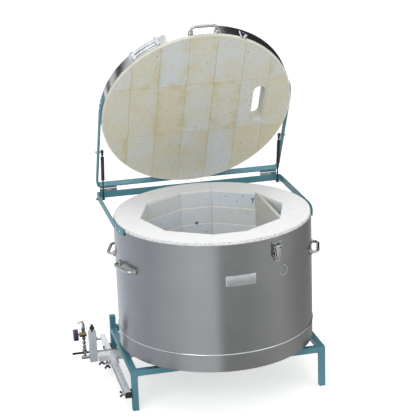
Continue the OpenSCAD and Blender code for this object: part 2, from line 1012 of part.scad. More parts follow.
// Two lugs on the band, drawn together by two long screws
module band_clamp() {
    first = -134;
    last = -118;
    lug = [14, 10, 38];
    screw = 2.5;
    middle = (first + last) / 2;
    span = 2 * (lid_r + lug[0] / 2 + 1) * sin((last - first) / 2);
    color(bright)
        on_lid() {
            for (angle = [first, last]) {
                around(angle, lid_r, lid_face + band_lift + (band_w - lug[2]) / 2)
                    translate([0, -lug[1] / 2, 0]) cube(lug);
            }
            for (level = [0.3, 0.7]) {
                chord_r = (lid_r + lug[0] / 2) * cos((last - first) / 2);
                around(middle, chord_r, lid_face + band_lift + band_w * level)
                    translate([0, -span / 2 - 12, 0]) {
                        along_y(screw, span + 24);
                        rotate([-90, 0, 0]) cylinder(r = 5, h = 5, $fn = 6);
                        translate([0, span + 19, 0]) rotate([-90, 0, 0]) cylinder(r = 5, h = 5, $fn = 6);
                    }
            }
        }
}

module lid_frame() {
    color(teal)
        on_lid()
            difference() {
                bent_frame(lid_arm_x, lid_tail, lid_bar_z);
                stud_holes(hinge_y - strut_high_y, hinge_z + strut_high_z);
            }
}

module lid_frame_screws() {
    color(bright) on_lid() tail_screws(lid_arm_x, lid_tail, lid_bar_z);
}

module lid_handle() {
    color(bright)
        on_lid()
            around(-90, 0, lid_face + lid_handle_lift)
                bow_handle(lid_r, lid_handle_span, lid_handle_reach);
}

// The keeper's tongue stands out under the band's edge, with a lip that the bail's bar drops behind
module latch_keeper() {
    tongue = pivot_x - lid_r + 8;
    color(bright)
        on_lid()
            rotate([0, 0, latch_angle]) {
                translate([lid_r, -11, lid_face + 3]) cube([2, 22, 46]);
                translate([lid_r, -5, lid_face + 3]) cube([tongue, 10, 3]);
                translate([lid_r + tongue - 2, -5, lid_face + 3]) cube([2, 10, 5.5]);
            }
}

module hinge_leaves_upper() {
    color(bright) on_lid() hinge_leaf(1);
}

// Burner rail
module rail_screw_holes() {
    for (y = [-stand_front + tube_w / 2, stand_rear - tube_w / 2]) {
        translate([rail_left - 1, y, rail_z + tube_w / 2])
            along_x(screw_r + screw_gap, tube_w + rail_gap + tube_w / 2);
    }
}

module burner_rail() {
    color(galvanised)
        on_kiln()
            difference() {
                translate([rail_left, rail_y + rail_l, rail_z]) rotate([90, 0, 0]) square_tube(rail_l);
                rail_screw_holes();
            }
}

// Black end caps, two spacers against the legs, the rear bolt and a small hook
module rail_fixings() {
    inside = tube_w - 2 * tube_t - 2 * seat_gap;
    mid = rail_z + tube_w / 2;
    color(black)
        on_kiln() {
            for (end = [0, 1]) {
                translate([rail_left, end == 0 ? rail_y - plug_t : rail_y + rail_l, rail_z])
                    cube([tube_w, plug_t, tube_w]);
                plug_y = end == 0 ? rail_y : rail_y + rail_l - 8;
                translate([rail_left + tube_t + seat_gap, plug_y, rail_z + tube_t + seat_gap])
                    cube([inside, 8, inside]);
            }
            for (y = [-stand_front, stand_rear - tube_w]) {
                difference() {
                    translate([rail_right, y, rail_z]) cube([rail_gap, tube_w, tube_w]);
                    rail_screw_holes();
                }
            }
            translate([rail_left - 5, stand_rear - tube_w / 2, mid]) {
                rotate([0, 90, 0]) cylinder(r = nut_r, h = 5, $fn = 6);
                along_x(screw_r, 5 + tube_w + rail_gap + tube_t + 4);
            }
            translate([rail_left - 16, rail_y + rail_l - 14, mid]) {
                along_x(3, 16);
                cylinder(r = 3, h = 10);
                sphere(r = 3);
            }
        }
}

module rail_wing_screw() {
    color(bright)
        on_kiln()
            translate([rail_left - seat_gap, -stand_front + tube_w / 2, rail_z + tube_w / 2])
                rotate([0, 90, 0])
                    wing_screw(tube_w + rail_gap + tube_t + 4);
}

// Cross bracket: a channel over the rail that carries the burner, with a strap under the rail
module burner_bracket() {
    length = 36 - burner_x - bracket_left;
    strap_z = rail_z - seat_gap - strap_t;
    strap_left = clamp_x - 8;
    post_x = rail_right + 9;
    color(galvanised)
        on_kiln() {
            difference() {
                translate([bracket_left, burner_y - bracket_w / 2, bracket_top - lip_h])
                    cube([length, bracket_w, lip_h]);
                translate([bracket_left - 1, burner_y - bracket_w / 2 + bracket_t, bracket_top - lip_h - 1])
                    cube([length + 2, bracket_w - 2 * bracket_t, lip_h + 1 - bracket_t]);
                translate([rail_left - 0.5, burner_y - bracket_w, rail_z])
                    cube([tube_w + 1, 2 * bracket_w, tube_w + seat_gap]);
                for (x = [clamp_x, foot_x]) {
                    translate([x, wing_y, rail_z]) cylinder(r = screw_r + screw_gap, h = 2 * lip_h + tube_w);
                }
                translate([-burner_x, burner_y, bracket_top - lip_h])
                    cylinder(r = pipe_r + seat_gap, h = 2 * lip_h);
            }
            difference() {
                union() {
                    translate([strap_left, wing_y - 10, strap_z])
                        cube([post_x + 6 - strap_left, 20, strap_t]);
                    translate([post_x, wing_y, strap_z])
                        cylinder(r = 4, h = bracket_top - bracket_t - strap_z);
                }
                translate([clamp_x, wing_y, strap_z - 1]) cylinder(r = screw_r + screw_gap, h = 8);
            }
        }
}

module strap_wing_screw() {
    strap_z = rail_z - seat_gap - strap_t;
    color(bright)
        on_kiln()
            translate([clamp_x, wing_y, strap_z - seat_gap]) wing_screw(bracket_top - strap_z);
}

module plate_wing_screw() {
    color(bright)
        on_kiln()
            translate([foot_x, wing_y, bracket_top - lip_h - 3]) wing_screw(lip_h + 2);
}

// Folded plate that carries the valves, with a foot under the bracket
module valve_plate() {
    front = burner_y - plate_d / 2;
    foot_z = bracket_top - bracket_t - seat_gap - 3;
    color(galvanised)
        on_kiln()
            difference() {
                union() {
                    difference() {
                        translate([plate_left, front, plate_z]) cube([plate_w, plate_d, plate_h]);
                        translate([plate_left + bracket_t, front + bracket_t, plate_z - 1])
                            cube([plate_w - 2 * bracket_t, plate_d, plate_h + 1 - bracket_t]);
                    }
                    translate([plate_right - bracket_t, wing_y - 8, foot_z])
                        cube([foot_x + 10 - plate_right, 16, 3]);
                }
                translate([plate_left - 1, burner_y, pipe_z]) along_x(pipe_r + seat_gap, plate_w + 2);
                translate([button_x, burner_y, plate_z]) cylinder(r = 5, h = 2 * plate_h);
                translate([foot_x, wing_y, foot_z - 1]) cylinder(r = screw_r + screw_gap, h = 5);
            }
}

// The fixed fittings from the hose elbow down to the pipe under the bracket
module gas_valves() {
    nut = 9;
    elbow = 9;
    top = needle_z + 50;
    tail = 14;
    color(brass)
        on_kiln()
            translate([stack_x, burner_y, 0]) {
                translate([0, 0, pipe_z]) cylinder(r = pipe_r, h = top - pipe_z);
                translate([-14, 0, pipe_z]) along_x(8, 14 + stack_gap - seat_gap);
                for (z = [valve_z + 16, valve_z + 36, valve_z + 54]) {
                    translate([0, 0, z]) cylinder(r = nut, h = 8, $fn = 6);
                }
                translate([0, 0, valve_z - 10]) cylinder(r = 10, h = 20);
                difference() {
                    translate([-18, 0, needle_z]) along_x(11, 30);
                    translate([-19, 0, needle_z]) along_x(3 + run_gap, 10);
                }
                translate([0, 0, needle_z + 16]) cylinder(r = 8.5, h = 14, $fn = 6);
                translate([0, 0, needle_z + 34]) cylinder(r = 7, h = 14);
                translate([-elbow, 0, top]) {
                    rotate([90, 0, 0])
                        rotate_extrude(angle = hose_turn) translate([elbow, 0]) circle(r = hose_r - 0.5);
                    rotate([0, -hose_turn, 0]) translate([elbow, 0, -1]) cylinder(r = hose_r, h = tail);
                }
                translate([button_x - stack_x, 0, 0])
                    difference() {
                        union() {
                            translate([0, 0, plate_top - 65]) cylinder(r = 10, h = 65 - bracket_t);
                            translate([0, 0, pipe_z + pipe_r])
                                cylinder(r = 4, h = plate_top - 65 - pipe_z - pipe_r);
                        }
                        translate([0, 0, plate_top - 24]) cylinder(r = button_stem_r + run_gap, h = 30);
                    }
            }
}

module gas_knob() {
    flutes = 12;
    color([0.28, 0.13, 0.32])
        on_kiln()
            translate([knob_face - knob_t, burner_y, needle_z]) {
                difference() {
                    along_x(knob_r, knob_t);
                    for (i = [0:flutes - 1]) {
                        rotate([i * 360 / flutes, 0, 0])
                            translate([-1, knob_r + 1, 0]) along_x(3, knob_t + 2);
                    }
                }
                translate([knob_t, 0, 0]) along_x(3, stack_x - 18 - knob_face + 8);
            }
}

module gas_lever() {
    color(brass)
        on_kiln()
            translate([stack_x, burner_y - 14, valve_z]) {
                rotate([90, 0, 0])
                    linear_extrude(4) {
                        translate([-lever_l + 4.5, -4.5]) square([lever_l + 9, 9]);
                        translate([-lever_l + 4.5, 0]) circle(r = 4.5);
                        translate([13.5, 0]) circle(r = 4.5);
                    }
                along_y(3, 4 - seat_gap);
            }
}

// Push button of the flame failure valve, with its stem
module push_button() {
    color(black)
        on_kiln()
            translate([button_x, burner_y, plate_top]) {
                translate([0, 0, -12]) cylinder(r = button_stem_r, h = 21);
                translate([0, 0, 9]) cylinder(r = 11, h = 8);
                translate([0, 0, 17]) cylinder(r = 6, h = 12);
            }
}

// Pipe from the valve stack through the plate and the bracket, turned up into the burner
module burner_pipe() {
    bend = bracket_top - seat_gap - pipe_z;
    start = plate_left - seat_gap;
    color(bright)
        on_kiln()
            translate([0, burner_y, pipe_z]) {
                translate([-burner_x - bend, 0, 0])
                    mirror([1, 0, 0]) along_x(pipe_r, -burner_x - bend - start);
                translate([-burner_x - bend, 0, bend])
                    rotate([90, 90, 0])
                        rotate_extrude(angle = 90) translate([bend, 0]) circle(r = pipe_r);
            }
}

module burner() {
    color([0.35, 0.35, 0.36])
        on_kiln()
            translate([-burner_x, burner_y, bracket_top])
                rotate_extrude()
                    polygon([
                        [0, 0], [18, 0], [18, 10], [13, 24], [13, 44],
                        [24, 58], [24, 84], [19, 84], [19, 64], [0, 60]
                    ]);
}

// Thin lead of the flame sensor, along the bracket's top and up beside the burner
module sensor_lead() {
    wire = 1.5;
    clip_r = 2.2;
    bend = 12;
    start = plate_right + seat_gap;
    turn_x = -burner_x - 32;
    color([0.45, 0.28, 0.16])
        on_kiln()
            translate([0, burner_y + bracket_w / 3, bracket_top + clip_r]) {
                for (x = [start + 40, start + 120, turn_x - bend]) {
                    translate([x - 4, 0, 0]) along_x(clip_r, 8);
                }
                translate([turn_x - bend, 0, 0]) mirror([1, 0, 0]) along_x(wire, turn_x - bend - start);
                translate([turn_x - bend, 0, bend])
                    rotate([90, 90, 0])
                        rotate_extrude(angle = 90) translate([bend, 0]) circle(r = wire);
                translate([turn_x, 0, bend - 3]) cylinder(r = 2 * wire, h = 64);
            }
}

stand_legs();
stand_rails();
stand_bearers();
leg_plugs();
floor_pan();
seam_bead();
casing();
floor_board();
floor_bricks();
blanket();
course_1();
course_2();
course_3();
course_4();
course_5();
course_6();
collar();
baffle_board();
baffle_props();
baffle_clips();
peephole_sleeve();
peephole_plug();
probe_sleeve();
side_handles();
rear_frame();
rear_frame_screws();
hinge_leaves_lower();
strut_studs_lower();
latch_base();
latch_block();
latch_lever();
latch_bail();
lid_bricks();
lid_rim();
lid_band();
band_clamp();
lid_frame();
lid_frame_screws();
lid_handle();
latch_keeper();
hinge_leaves_upper();
strut_studs_upper();
strut_rod_left();
strut_rod_right();
strut_cylinder_left();
strut_cylinder_right();
burner_rail();
rail_fixings();
rail_wing_screw();
burner_bracket();
strap_wing_screw();
plate_wing_screw();
valve_plate();
gas_valves();
gas_knob();
gas_lever();
push_button();
burner_pipe();
burner();
sensor_lead();
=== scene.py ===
import json
import math

import bmesh
import bpy
from mathutils import Matrix, Vector


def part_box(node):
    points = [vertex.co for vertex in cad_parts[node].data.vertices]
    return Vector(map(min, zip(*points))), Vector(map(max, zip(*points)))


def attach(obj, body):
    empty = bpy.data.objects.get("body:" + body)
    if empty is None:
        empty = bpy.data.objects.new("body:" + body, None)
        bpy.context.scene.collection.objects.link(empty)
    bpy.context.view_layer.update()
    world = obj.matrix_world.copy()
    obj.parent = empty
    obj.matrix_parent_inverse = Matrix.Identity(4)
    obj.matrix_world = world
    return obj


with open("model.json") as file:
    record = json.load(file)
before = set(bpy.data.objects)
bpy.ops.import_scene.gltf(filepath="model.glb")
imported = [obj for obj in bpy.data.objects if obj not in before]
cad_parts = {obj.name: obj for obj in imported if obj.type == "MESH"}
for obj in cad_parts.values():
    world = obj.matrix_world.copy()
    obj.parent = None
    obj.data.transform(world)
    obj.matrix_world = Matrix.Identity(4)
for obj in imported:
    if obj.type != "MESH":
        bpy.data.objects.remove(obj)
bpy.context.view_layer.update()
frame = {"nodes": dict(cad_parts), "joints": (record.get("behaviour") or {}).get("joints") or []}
nodes = frame["nodes"]
joints = {joint["name"]: joint for joint in frame["joints"]}
scene = bpy.context.scene
scene.view_settings.view_transform = "Standard"
print("frame loaded with", len(nodes), "nodes")

mm = 0.001
fullTurn = 2 * math.pi

# the kiln's upright axis and the lid's hinge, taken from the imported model
caseLow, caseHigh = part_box("casing")
axis = Vector(((caseLow.x + caseHigh.x) / 2, (caseLow.y + caseHigh.y) / 2, 0))
casingR = (caseHigh.x - caseLow.x) / 2
hinge = Vector(joints["lid_hinge"]["pos_m"])
lidAngle = math.radians(61.5)  # how far the lid stands open at rest
openLid = Matrix.Translation(hinge) @ Matrix.Rotation(-lidAngle, 4, "X") @ Matrix.Translation(-hinge)
bodyTurn = {"kiln": Matrix.Identity(4), "lid": openLid}  # from the shut lid's places to the rest pose


# camera, set from lines in the photo; its place is measured from the kiln's axis
camera = {"place": (-1.2837, -5.4612, 2.5793), "yaw": 13.1424, "pitch": 18.0506, "roll": -1.8934,
          "lens": 122.12, "sensor": 36, "farEnd": 200}

yaw, pitch, roll = (math.radians(camera[k]) for k in ("yaw", "pitch", "roll"))
ahead = Vector((math.sin(yaw) * math.cos(pitch), math.cos(yaw) * math.cos(pitch), -math.sin(pitch)))
levelRight = Vector((math.cos(yaw), -math.sin(yaw), 0))
levelUp = levelRight.cross(ahead)
camRight = math.cos(roll) * levelRight + math.sin(roll) * levelUp
camUp = -math.sin(roll) * levelRight + math.cos(roll) * levelUp
turn = Matrix((camRight, camUp, -ahead)).transposed().to_4x4()
camData = bpy.data.cameras.new("viewCamera")
camData.lens = camera["lens"]
camData.sensor_width = camera["sensor"]
camData.sensor_fit = "HORIZONTAL"
camData.clip_end = camera["farEnd"]
camObject = bpy.data.objects.new("viewCamera", camData)
scene.collection.objects.link(camObject)
camObject.matrix_world = Matrix.Translation(axis + Vector(camera["place"])) @ turn
scene.camera = camObject
print("camera placed")


# sRGB hex text to linear
def colour(hexText):
    parts = [int(hexText[i:i + 2], 16) / 255 for i in (0, 2, 4)]
    return [c / 12.92 if c <= 0.04045 else ((c + 0.055) / 1.055) ** 2.4 for c in parts] + [1.0]


# adds a node, or takes one that is there; lower-case keys are its settings and the others are sockets, which
# are set to a number or a hex colour, or linked to another node's socket or first live output
def addNode(tree, kind, values):
    node = tree.nodes.new("ShaderNode" + kind) if isinstance(kind, str) else kind
    for key, value in values.items():
        if isinstance(value, bpy.types.Node):
            value = next(socket for socket in value.outputs if socket.enabled)
        if isinstance(key, str) and key[0].islower():
            setattr(node, key, value)
        elif isinstance(value, bpy.types.NodeSocket):
            tree.links.new(value, node.inputs[key])
        else:
            node.inputs[key].default_value = colour(value) if isinstance(value, str) else value
    return node


def newFinish(name):
    finish = bpy.data.materials.new(name)
    finish.use_nodes = True
    return finish, finish.node_tree, finish.node_tree.nodes["Principled BSDF"]


# pattern scale for a size in mm
def perMetre(size):
    return 1000.0 / size


# edges softened by a bevel, and on them the surface's own relief
def softRelief(tree, look, height):
    rounded = addNode(tree, "Bevel", {"samples": 4, "Radius": look["edgeMm"] * mm})
    return addNode(tree, "Bump", {"Strength": look["bump"], "Distance": look["bumpMm"] * mm,
                                  "Height": height, "Normal": rounded})


# satin-ground 304 stainless sheet: soft grey sheen, fine lines round the jacket, faint hand marks
satin = {"tone": "8B8D8F", "toneLow": "848688", "rough": 0.25, "roughDown": 0.015, "roughUp": 0.035,
         "grain": 0.6, "grainTurn": 0.25, "lineMm": 2.5, "lineRound": 3.0, "lineShare": 0.45, "markMm": 160,
         "bump": 0.010, "bumpMm": 0.15}


def satinStainless(name, look):
    finish, tree, skin = newFinish(name)
    at = addNode(tree, "TexCoord", {}).outputs["Object"]
    spot = addNode(tree, "Mapping", {"vector_type": "TEXTURE", "Vector": at, "Location": axis})
    part = addNode(tree, "SeparateXYZ", {0: spot})
    angle = addNode(tree, "Math", {"operation": "ARCTAN2", 0: part.outputs["Y"], 1: part.outputs["X"]})
    around = addNode(tree, "Math", {"operation": "MULTIPLY", 0: angle, 1: look["lineRound"]})
    # ground lines are finer than this in life; they are drawn 2.5 mm apart so that they show
    height = addNode(tree, "Math", {"operation": "MULTIPLY", 0: part.outputs["Z"],
                                    1: perMetre(look["lineMm"])})
    lineAt = addNode(tree, "CombineXYZ", {0: around, 1: height})
    lines = addNode(tree, "TexNoise", {"Vector": lineAt, "Scale": 1.0, "Detail": 3.0, "Roughness": 0.6})
    marks = addNode(tree, "TexNoise", {"Vector": at, "Scale": perMetre(look["markMm"]), "Detail": 4.0,
                                       "Roughness": 0.55})
    both = addNode(tree, "Math", {"operation": "MULTIPLY_ADD", 0: lines, 1: look["lineShare"], 2: marks})
    tone = addNode(tree, "MapRange", {"Value": both, "From Min": 0.45, "From Max": 1.0})
    mixed = addNode(tree, "Mix", {"data_type": "RGBA", 0: tone, 6: look["toneLow"], 7: look["tone"]})
    rough = addNode(tree, "MapRange", {"Value": both, "From Min": 0.4, "From Max": 1.0,
                                       "To Min": look["rough"] - look["roughDown"],
                                       "To Max": look["rough"] + look["roughUp"]})
    bump = addNode(tree, "Bump", {"Strength": look["bump"], "Distance": look["bumpMm"] * mm,
                                  "Height": lines})
    # lines round the jacket spread a reflection up and down, and keep its upright edges crisp
    grainWay = addNode(tree, "Tangent", {"direction_type": "RADIAL", "axis": "Z"})
    addNode(tree, skin, {"Base Color": mixed, "Roughness": rough, "Normal": bump, "Tangent": grainWay,
                         "Anisotropic": look["grain"], "Anisotropic Rotation": look["grainTurn"],
                         "Metallic": 1.0})
    return finish


# polished stainless strip and chrome plate: near mirrors with light smears and a softened edge
polished = {"tone": "D2D5D8", "rough": 0.10, "smearMm": 70, "edgeMm": 0.6}
chrome = {"tone": "DADCDF", "rough": 0.07, "smearMm": 30, "edgeMm": 0.5}
castChrome = {"tone": "B4B7BB", "rough": 0.14, "smearMm": 14, "edgeMm": 0.8}
# handle steel is toned darker than the chrome, as painted shade for the handles
gripSteel = {"tone": "ABACAA", "rough": 0.15, "smearMm": 26, "edgeMm": 0.8}
# pressed steel of the latch's plate, toned greyer than the chrome of its lever as a painted dark reflection
latchPlateDarkReflection = {"tone": "9A9C9F", "rough": 0.12, "smearMm": 10, "edgeMm": 0.6}
# nickel plate on brass fittings, rubbed through to the brass round the needle valve, with a ragged edge
nickel = {"tone": "B9BAB9", "rough": 0.08, "smearMm": 12, "edgeMm": 0.7, "bare": "7E7256",
          "bareLow": 188 * mm, "bareHigh": 221 * mm, "bareRag": 20 * mm, "bareSoft": 3 * mm}
# what these mirrors share: how much duller and darker the smears are, and the plate's fine ripple
mirrorSkin = {"smearRough": 0.10, "smearShade": 0.10, "rippleMm": 3.0, "bump": 0.03, "bumpMm": 0.1}


def mirrorMetal(name, look):
    look = dict(mirrorSkin, **look)
    finish, tree, skin = newFinish(name)
    at = addNode(tree, "TexCoord", {}).outputs["Object"]
    smear = addNode(tree, "TexNoise", {"Vector": at, "Scale": perMetre(look["smearMm"]), "Detail": 5.0,
                                       "Roughness": 0.6, "Distortion": 0.4})
    ripple = addNode(tree, "TexNoise", {"Vector": at, "Scale": perMetre(look["rippleMm"]), "Detail": 2.0})
    rough = addNode(tree, "MapRange", {"Value": smear, "From Min": 0.35, "From Max": 0.75,
                                       "To Min": look["rough"],
                                       "To Max": look["rough"] + look["smearRough"]})
    bump = softRelief(tree, look, ripple)
    shade = addNode(tree, "Mix", {"data_type": "RGBA", "blend_type": "MULTIPLY", 0: look["smearShade"],
                                  6: look["tone"], 7: smear.outputs["Color"]})
    if "bare" in look:
        height = addNode(tree, "SeparateXYZ", {0: at}).outputs["Z"]
        ragged = addNode(tree, "Math", {"operation": "MULTIPLY_ADD", 0: smear, 1: look["bareRag"],
                                        2: height})
        middle = (look["bareLow"] + look["bareHigh"] + look["bareRag"]) / 2
        half = (look["bareHigh"] - look["bareLow"]) / 2
        off = addNode(tree, "Math", {"operation": "SUBTRACT", 0: ragged, 1: middle})
        away = addNode(tree, "Math", {"operation": "ABSOLUTE", 0: off})
        band = addNode(tree, "MapRange", {"Value": away, "From Min": half,
                                          "From Max": half - look["bareSoft"]})
        shade = addNode(tree, "Mix", {"data_type": "RGBA", 0: band, 6: shade, 7: look["bare"]})
    addNode(tree, skin, {"Base Color": shade, "Roughness": rough, "Normal": bump, "Metallic": 1.0})
    return finish


# zinc-plated steel: pale blue-grey with flat crystal patches that catch the light one by one
zinc = {"pale": "F6F7FA", "dull": "E9ECF1", "rough": 0.30, "roughUp": 0.12, "roughDown": 0.06,
        "metal": 0.45, "patchMm": 9, "bendMm": 12, "bend": 4 * mm, "grimeMm": 45, "grimeShare": 0.8,
        "edgeMm": 0.9, "bump": 0.06, "bumpMm": 0.2}
dullZinc = dict(zinc, pale="D7DCE3", dull="CAD0D8", rough=0.40)


def zincSteel(name, look):
    finish, tree, skin = newFinish(name)
    at = addNode(tree, "TexCoord", {}).outputs["Object"]
    bent = addNode(tree, "TexNoise", {"Vector": at, "Scale": perMetre(look["bendMm"]), "Detail": 2.0})
    shift = addNode(tree, "VectorMath", {"operation": "MULTIPLY_ADD", 0: bent.outputs["Color"],
                                         1: [look["bend"]] * 3, 2: at})
    patch = addNode(tree, "TexVoronoi", {"Vector": shift, "Scale": perMetre(look["patchMm"])})
    patchTone = addNode(tree, "SeparateXYZ", {0: patch.outputs["Color"]})
    grime = addNode(tree, "TexNoise", {"Vector": at, "Scale": perMetre(look["grimeMm"]), "Detail": 5.0})
    blend = addNode(tree, "Math", {"operation": "MULTIPLY_ADD", 0: grime, 1: look["grimeShare"],
                                   2: patchTone.outputs[0]})
    amount = addNode(tree, "MapRange", {"Value": blend, "From Min": 0.2, "From Max": 1.4})
    mixed = addNode(tree, "Mix", {"data_type": "RGBA", 0: amount, 6: look["dull"], 7: look["pale"]})
    rough = addNode(tree, "MapRange", {"Value": blend, "From Min": 0.2, "From Max": 1.4,
                                       "To Min": look["rough"] + look["roughUp"],
                                       "To Max": look["rough"] - look["roughDown"]})
    bump = softRelief(tree, look, patchTone.outputs[1])
    addNode(tree, skin, {"Base Color": mixed, "Roughness": rough, "Normal": bump,
                         "Metallic": look["metal"]})
    return finish


# teal powder enamel on steel: satin skin with orange peel, thin and paler along its edges
teal = {"tone": "57909E", "deep": "497F8D", "worn": "88AEB6", "rough": 0.38, "roughDown": 0.05,
        "roughUp": 0.10, "cloudMm": 90, "scuffMm": 16, "peelMm": 3.2, "edgeMm": 2.0, "bump": 0.10,
        "bumpMm": 0.25}


def powderEnamel(name, look):
    finish, tree, skin = newFinish(name)
    at = addNode(tree, "TexCoord", {}).outputs["Object"]
    cloud = addNode(tree, "TexNoise", {"Vector": at, "Scale": perMetre(look["cloudMm"]), "Detail": 4.0})
    peel = addNode(tree, "TexNoise", {"Vector": at, "Scale": perMetre(look["peelMm"]), "Detail": 1.5})
    scuff = addNode(tree, "TexNoise", {"Vector": at, "Scale": perMetre(look["scuffMm"]), "Detail": 6.0,
                                       "Roughness": 0.7})
    # the rounded direction leaves the flat one only near an edge
    rounded = addNode(tree, "Bevel", {"samples": 4, "Radius": look["edgeMm"] * mm})
    flat = addNode(tree, "NewGeometry", {}).outputs["True Normal"]
    same = addNode(tree, "VectorMath", {"operation": "DOT_PRODUCT", 0: rounded, 1: flat})
    rim = addNode(tree, "MapRange", {"Value": same, "From Min": 0.97, "From Max": 0.80})
    wear = addNode(tree, "Math", {"operation": "MULTIPLY", 0: rim, 1: scuff})
    mixed = addNode(tree, "Mix", {"data_type": "RGBA", 0: cloud, 6: look["deep"], 7: look["tone"]})
    edged = addNode(tree, "Mix", {"data_type": "RGBA", 0: wear, 6: mixed, 7: look["worn"]})
    rough = addNode(tree, "MapRange", {"Value": scuff, "From Min": 0.3, "From Max": 0.7,
                                       "To Min": look["rough"] - look["roughDown"],
                                       "To Max": look["rough"] + look["roughUp"]})
    bump = addNode(tree, "Bump", {"Strength": look["bump"], "Distance": look["bumpMm"] * mm, "Height": peel,
                                  "Normal": rounded})
    addNode(tree, skin, {"Base Color": edged, "Roughness": rough, "Normal": bump})
    return finish


# porous insulating brick, sawn: chalky, each brick its own cream or cool grey, dark pores and specks, with
# yellow stain creeping in from the edges of some bricks
brick = {"cream": "D1CDB7", "cool": "D0D5D6", "ownShare": 0.55, "cloudMm": 85, "stain": "C6B98C",
         "stainMm": 42.0, "stainMost": 0.9, "driftMm": 55, "pore": "766B56", "poreMm": 6, "poreFrom": 0.40,
         "poreMost": 0.24, "poreDark": 0.75, "poreDeep": 1.2, "speck": "4E4537", "speckMm": 21,
         "speckFrom": 0.35, "speckMost": 0.135, "speckDark": 0.85, "joint": "E2D7AC", "jointAndHighlightMm": 3.0,
         "footMm": 3.5, "grainMm": 8.0, "edgeMm": 0.8, "bump": 0.35, "bumpMm": 0.6, "rough": 0.95,
         "shine": 0.2}
# on the walls the near-white joint colour is a painted highlight, and the foot of each course gets painted
# shade
wallLook = dict(brick, cream="DFE3E6", cool="DEE6F0", stain="DEDDD2", joint="FFFFFD", jointAndHighlightMm=9.0)
# where bricks part, in metres: columns and rows on lid and floor, courses on the walls; the draw is a plain
# seed that picks which bricks come out cream, cool or stained
lidGrid = {"start": hinge, "turn": -lidAngle, "pitch": 0.117, "rows": (-0.569, -0.303), "draw": 4.0,
           "lineMost": 0.8, "footMost": 0.0}
floorGrid = dict(lidGrid, start=axis - Vector((0.2, 0, 0)), turn=0.0, rows=(-0.151, 0.115))
# a wall's direction is rounded to steps, with a shift that keeps all walls off the steps' ends
wallGrid = {"start": axis, "turn": 0.0, "courses": (0.292, 0.076), "shift": (0.0123, 0.0123, 0.25),
            "step": (0.05, 0.05, 0.5), "courseLift": (1, 1, 3.7), "lineMost": 2.4, "footMost": 0.30}


# gives the way in from a brick's nearest edge, from its top and from its foot, and a number of its own
def brickCells(tree, at, grid):
    spot = addNode(tree, "Mapping", {"vector_type": "TEXTURE", "Vector": at, "Location": grid["start"],
                                     "Rotation": (grid["turn"], 0, 0)})
    part = addNode(tree, "SeparateXYZ", {0: spot})
    if "courses" in grid:
        # one brick for each wall and course: its face's direction and its height tell which
        low, pitch = grid["courses"]
        level = addNode(tree, "Math", {"operation": "SUBTRACT", 0: part.outputs["Z"], 1: low})
        edge = addNode(tree, "Math", {"operation": "PINGPONG", 0: level, 1: pitch / 2})
        course = addNode(tree, "Math", {"operation": "DIVIDE", 0: level, 1: pitch})
        number = addNode(tree, "Math", {"operation": "FLOOR", 0: course})
        inside = addNode(tree, "Math", {"operation": "FRACT", 0: course})
        top = addNode(tree, "Math", {"operation": "MULTIPLY_ADD", 0: inside, 1: -pitch, 2: pitch})
        foot = addNode(tree, "Math", {"operation": "MULTIPLY", 0: inside, 1: pitch})
        wallNormal = addNode(tree, "NewGeometry", {}).outputs["True Normal"]
        shifted = addNode(tree, "VectorMath", {"operation": "ADD", 0: wallNormal, 1: grid["shift"]})
        wall = addNode(tree, "VectorMath", {"operation": "SNAP", 0: shifted, 1: grid["step"]})
        lift = addNode(tree, "CombineXYZ", {2: number})
        cell = addNode(tree, "VectorMath", {"operation": "MULTIPLY_ADD", 0: lift, 1: grid["courseLift"],
                                            2: wall})
        return edge, top, foot, cell
    pitch = grid["pitch"]
    shifted = addNode(tree, "Math", {"operation": "ADD", 0: part.outputs["X"], 1: pitch / 2})
    sideways = addNode(tree, "Math", {"operation": "PINGPONG", 0: shifted, 1: pitch / 2})
    column = addNode(tree, "Math", {"operation": "DIVIDE", 0: shifted, 1: pitch})
    columnNumber = addNode(tree, "Math", {"operation": "FLOOR", 0: column})
    low, high = grid["rows"]
    fromLow = addNode(tree, "Math", {"operation": "SUBTRACT", 0: part.outputs["Y"], 1: low})
    fromHigh = addNode(tree, "Math", {"operation": "SUBTRACT", 0: part.outputs["Y"], 1: high})
    row = addNode(tree, "Math", {"operation": "DIVIDE", 0: fromLow, 1: high - low})
    rowNumber = addNode(tree, "Math", {"operation": "FLOOR", 0: row})
    offLow = addNode(tree, "Math", {"operation": "ABSOLUTE", 0: fromLow})
    offHigh = addNode(tree, "Math", {"operation": "ABSOLUTE", 0: fromHigh})
    lengthways = addNode(tree, "Math", {"operation": "MINIMUM", 0: offLow, 1: offHigh})
    edge = addNode(tree, "Math", {"operation": "MINIMUM", 0: sideways, 1: lengthways})
    cell = addNode(tree, "CombineXYZ", {0: columnNumber, 1: rowNumber, 2: grid["draw"]})
    return edge, edge, edge, cell


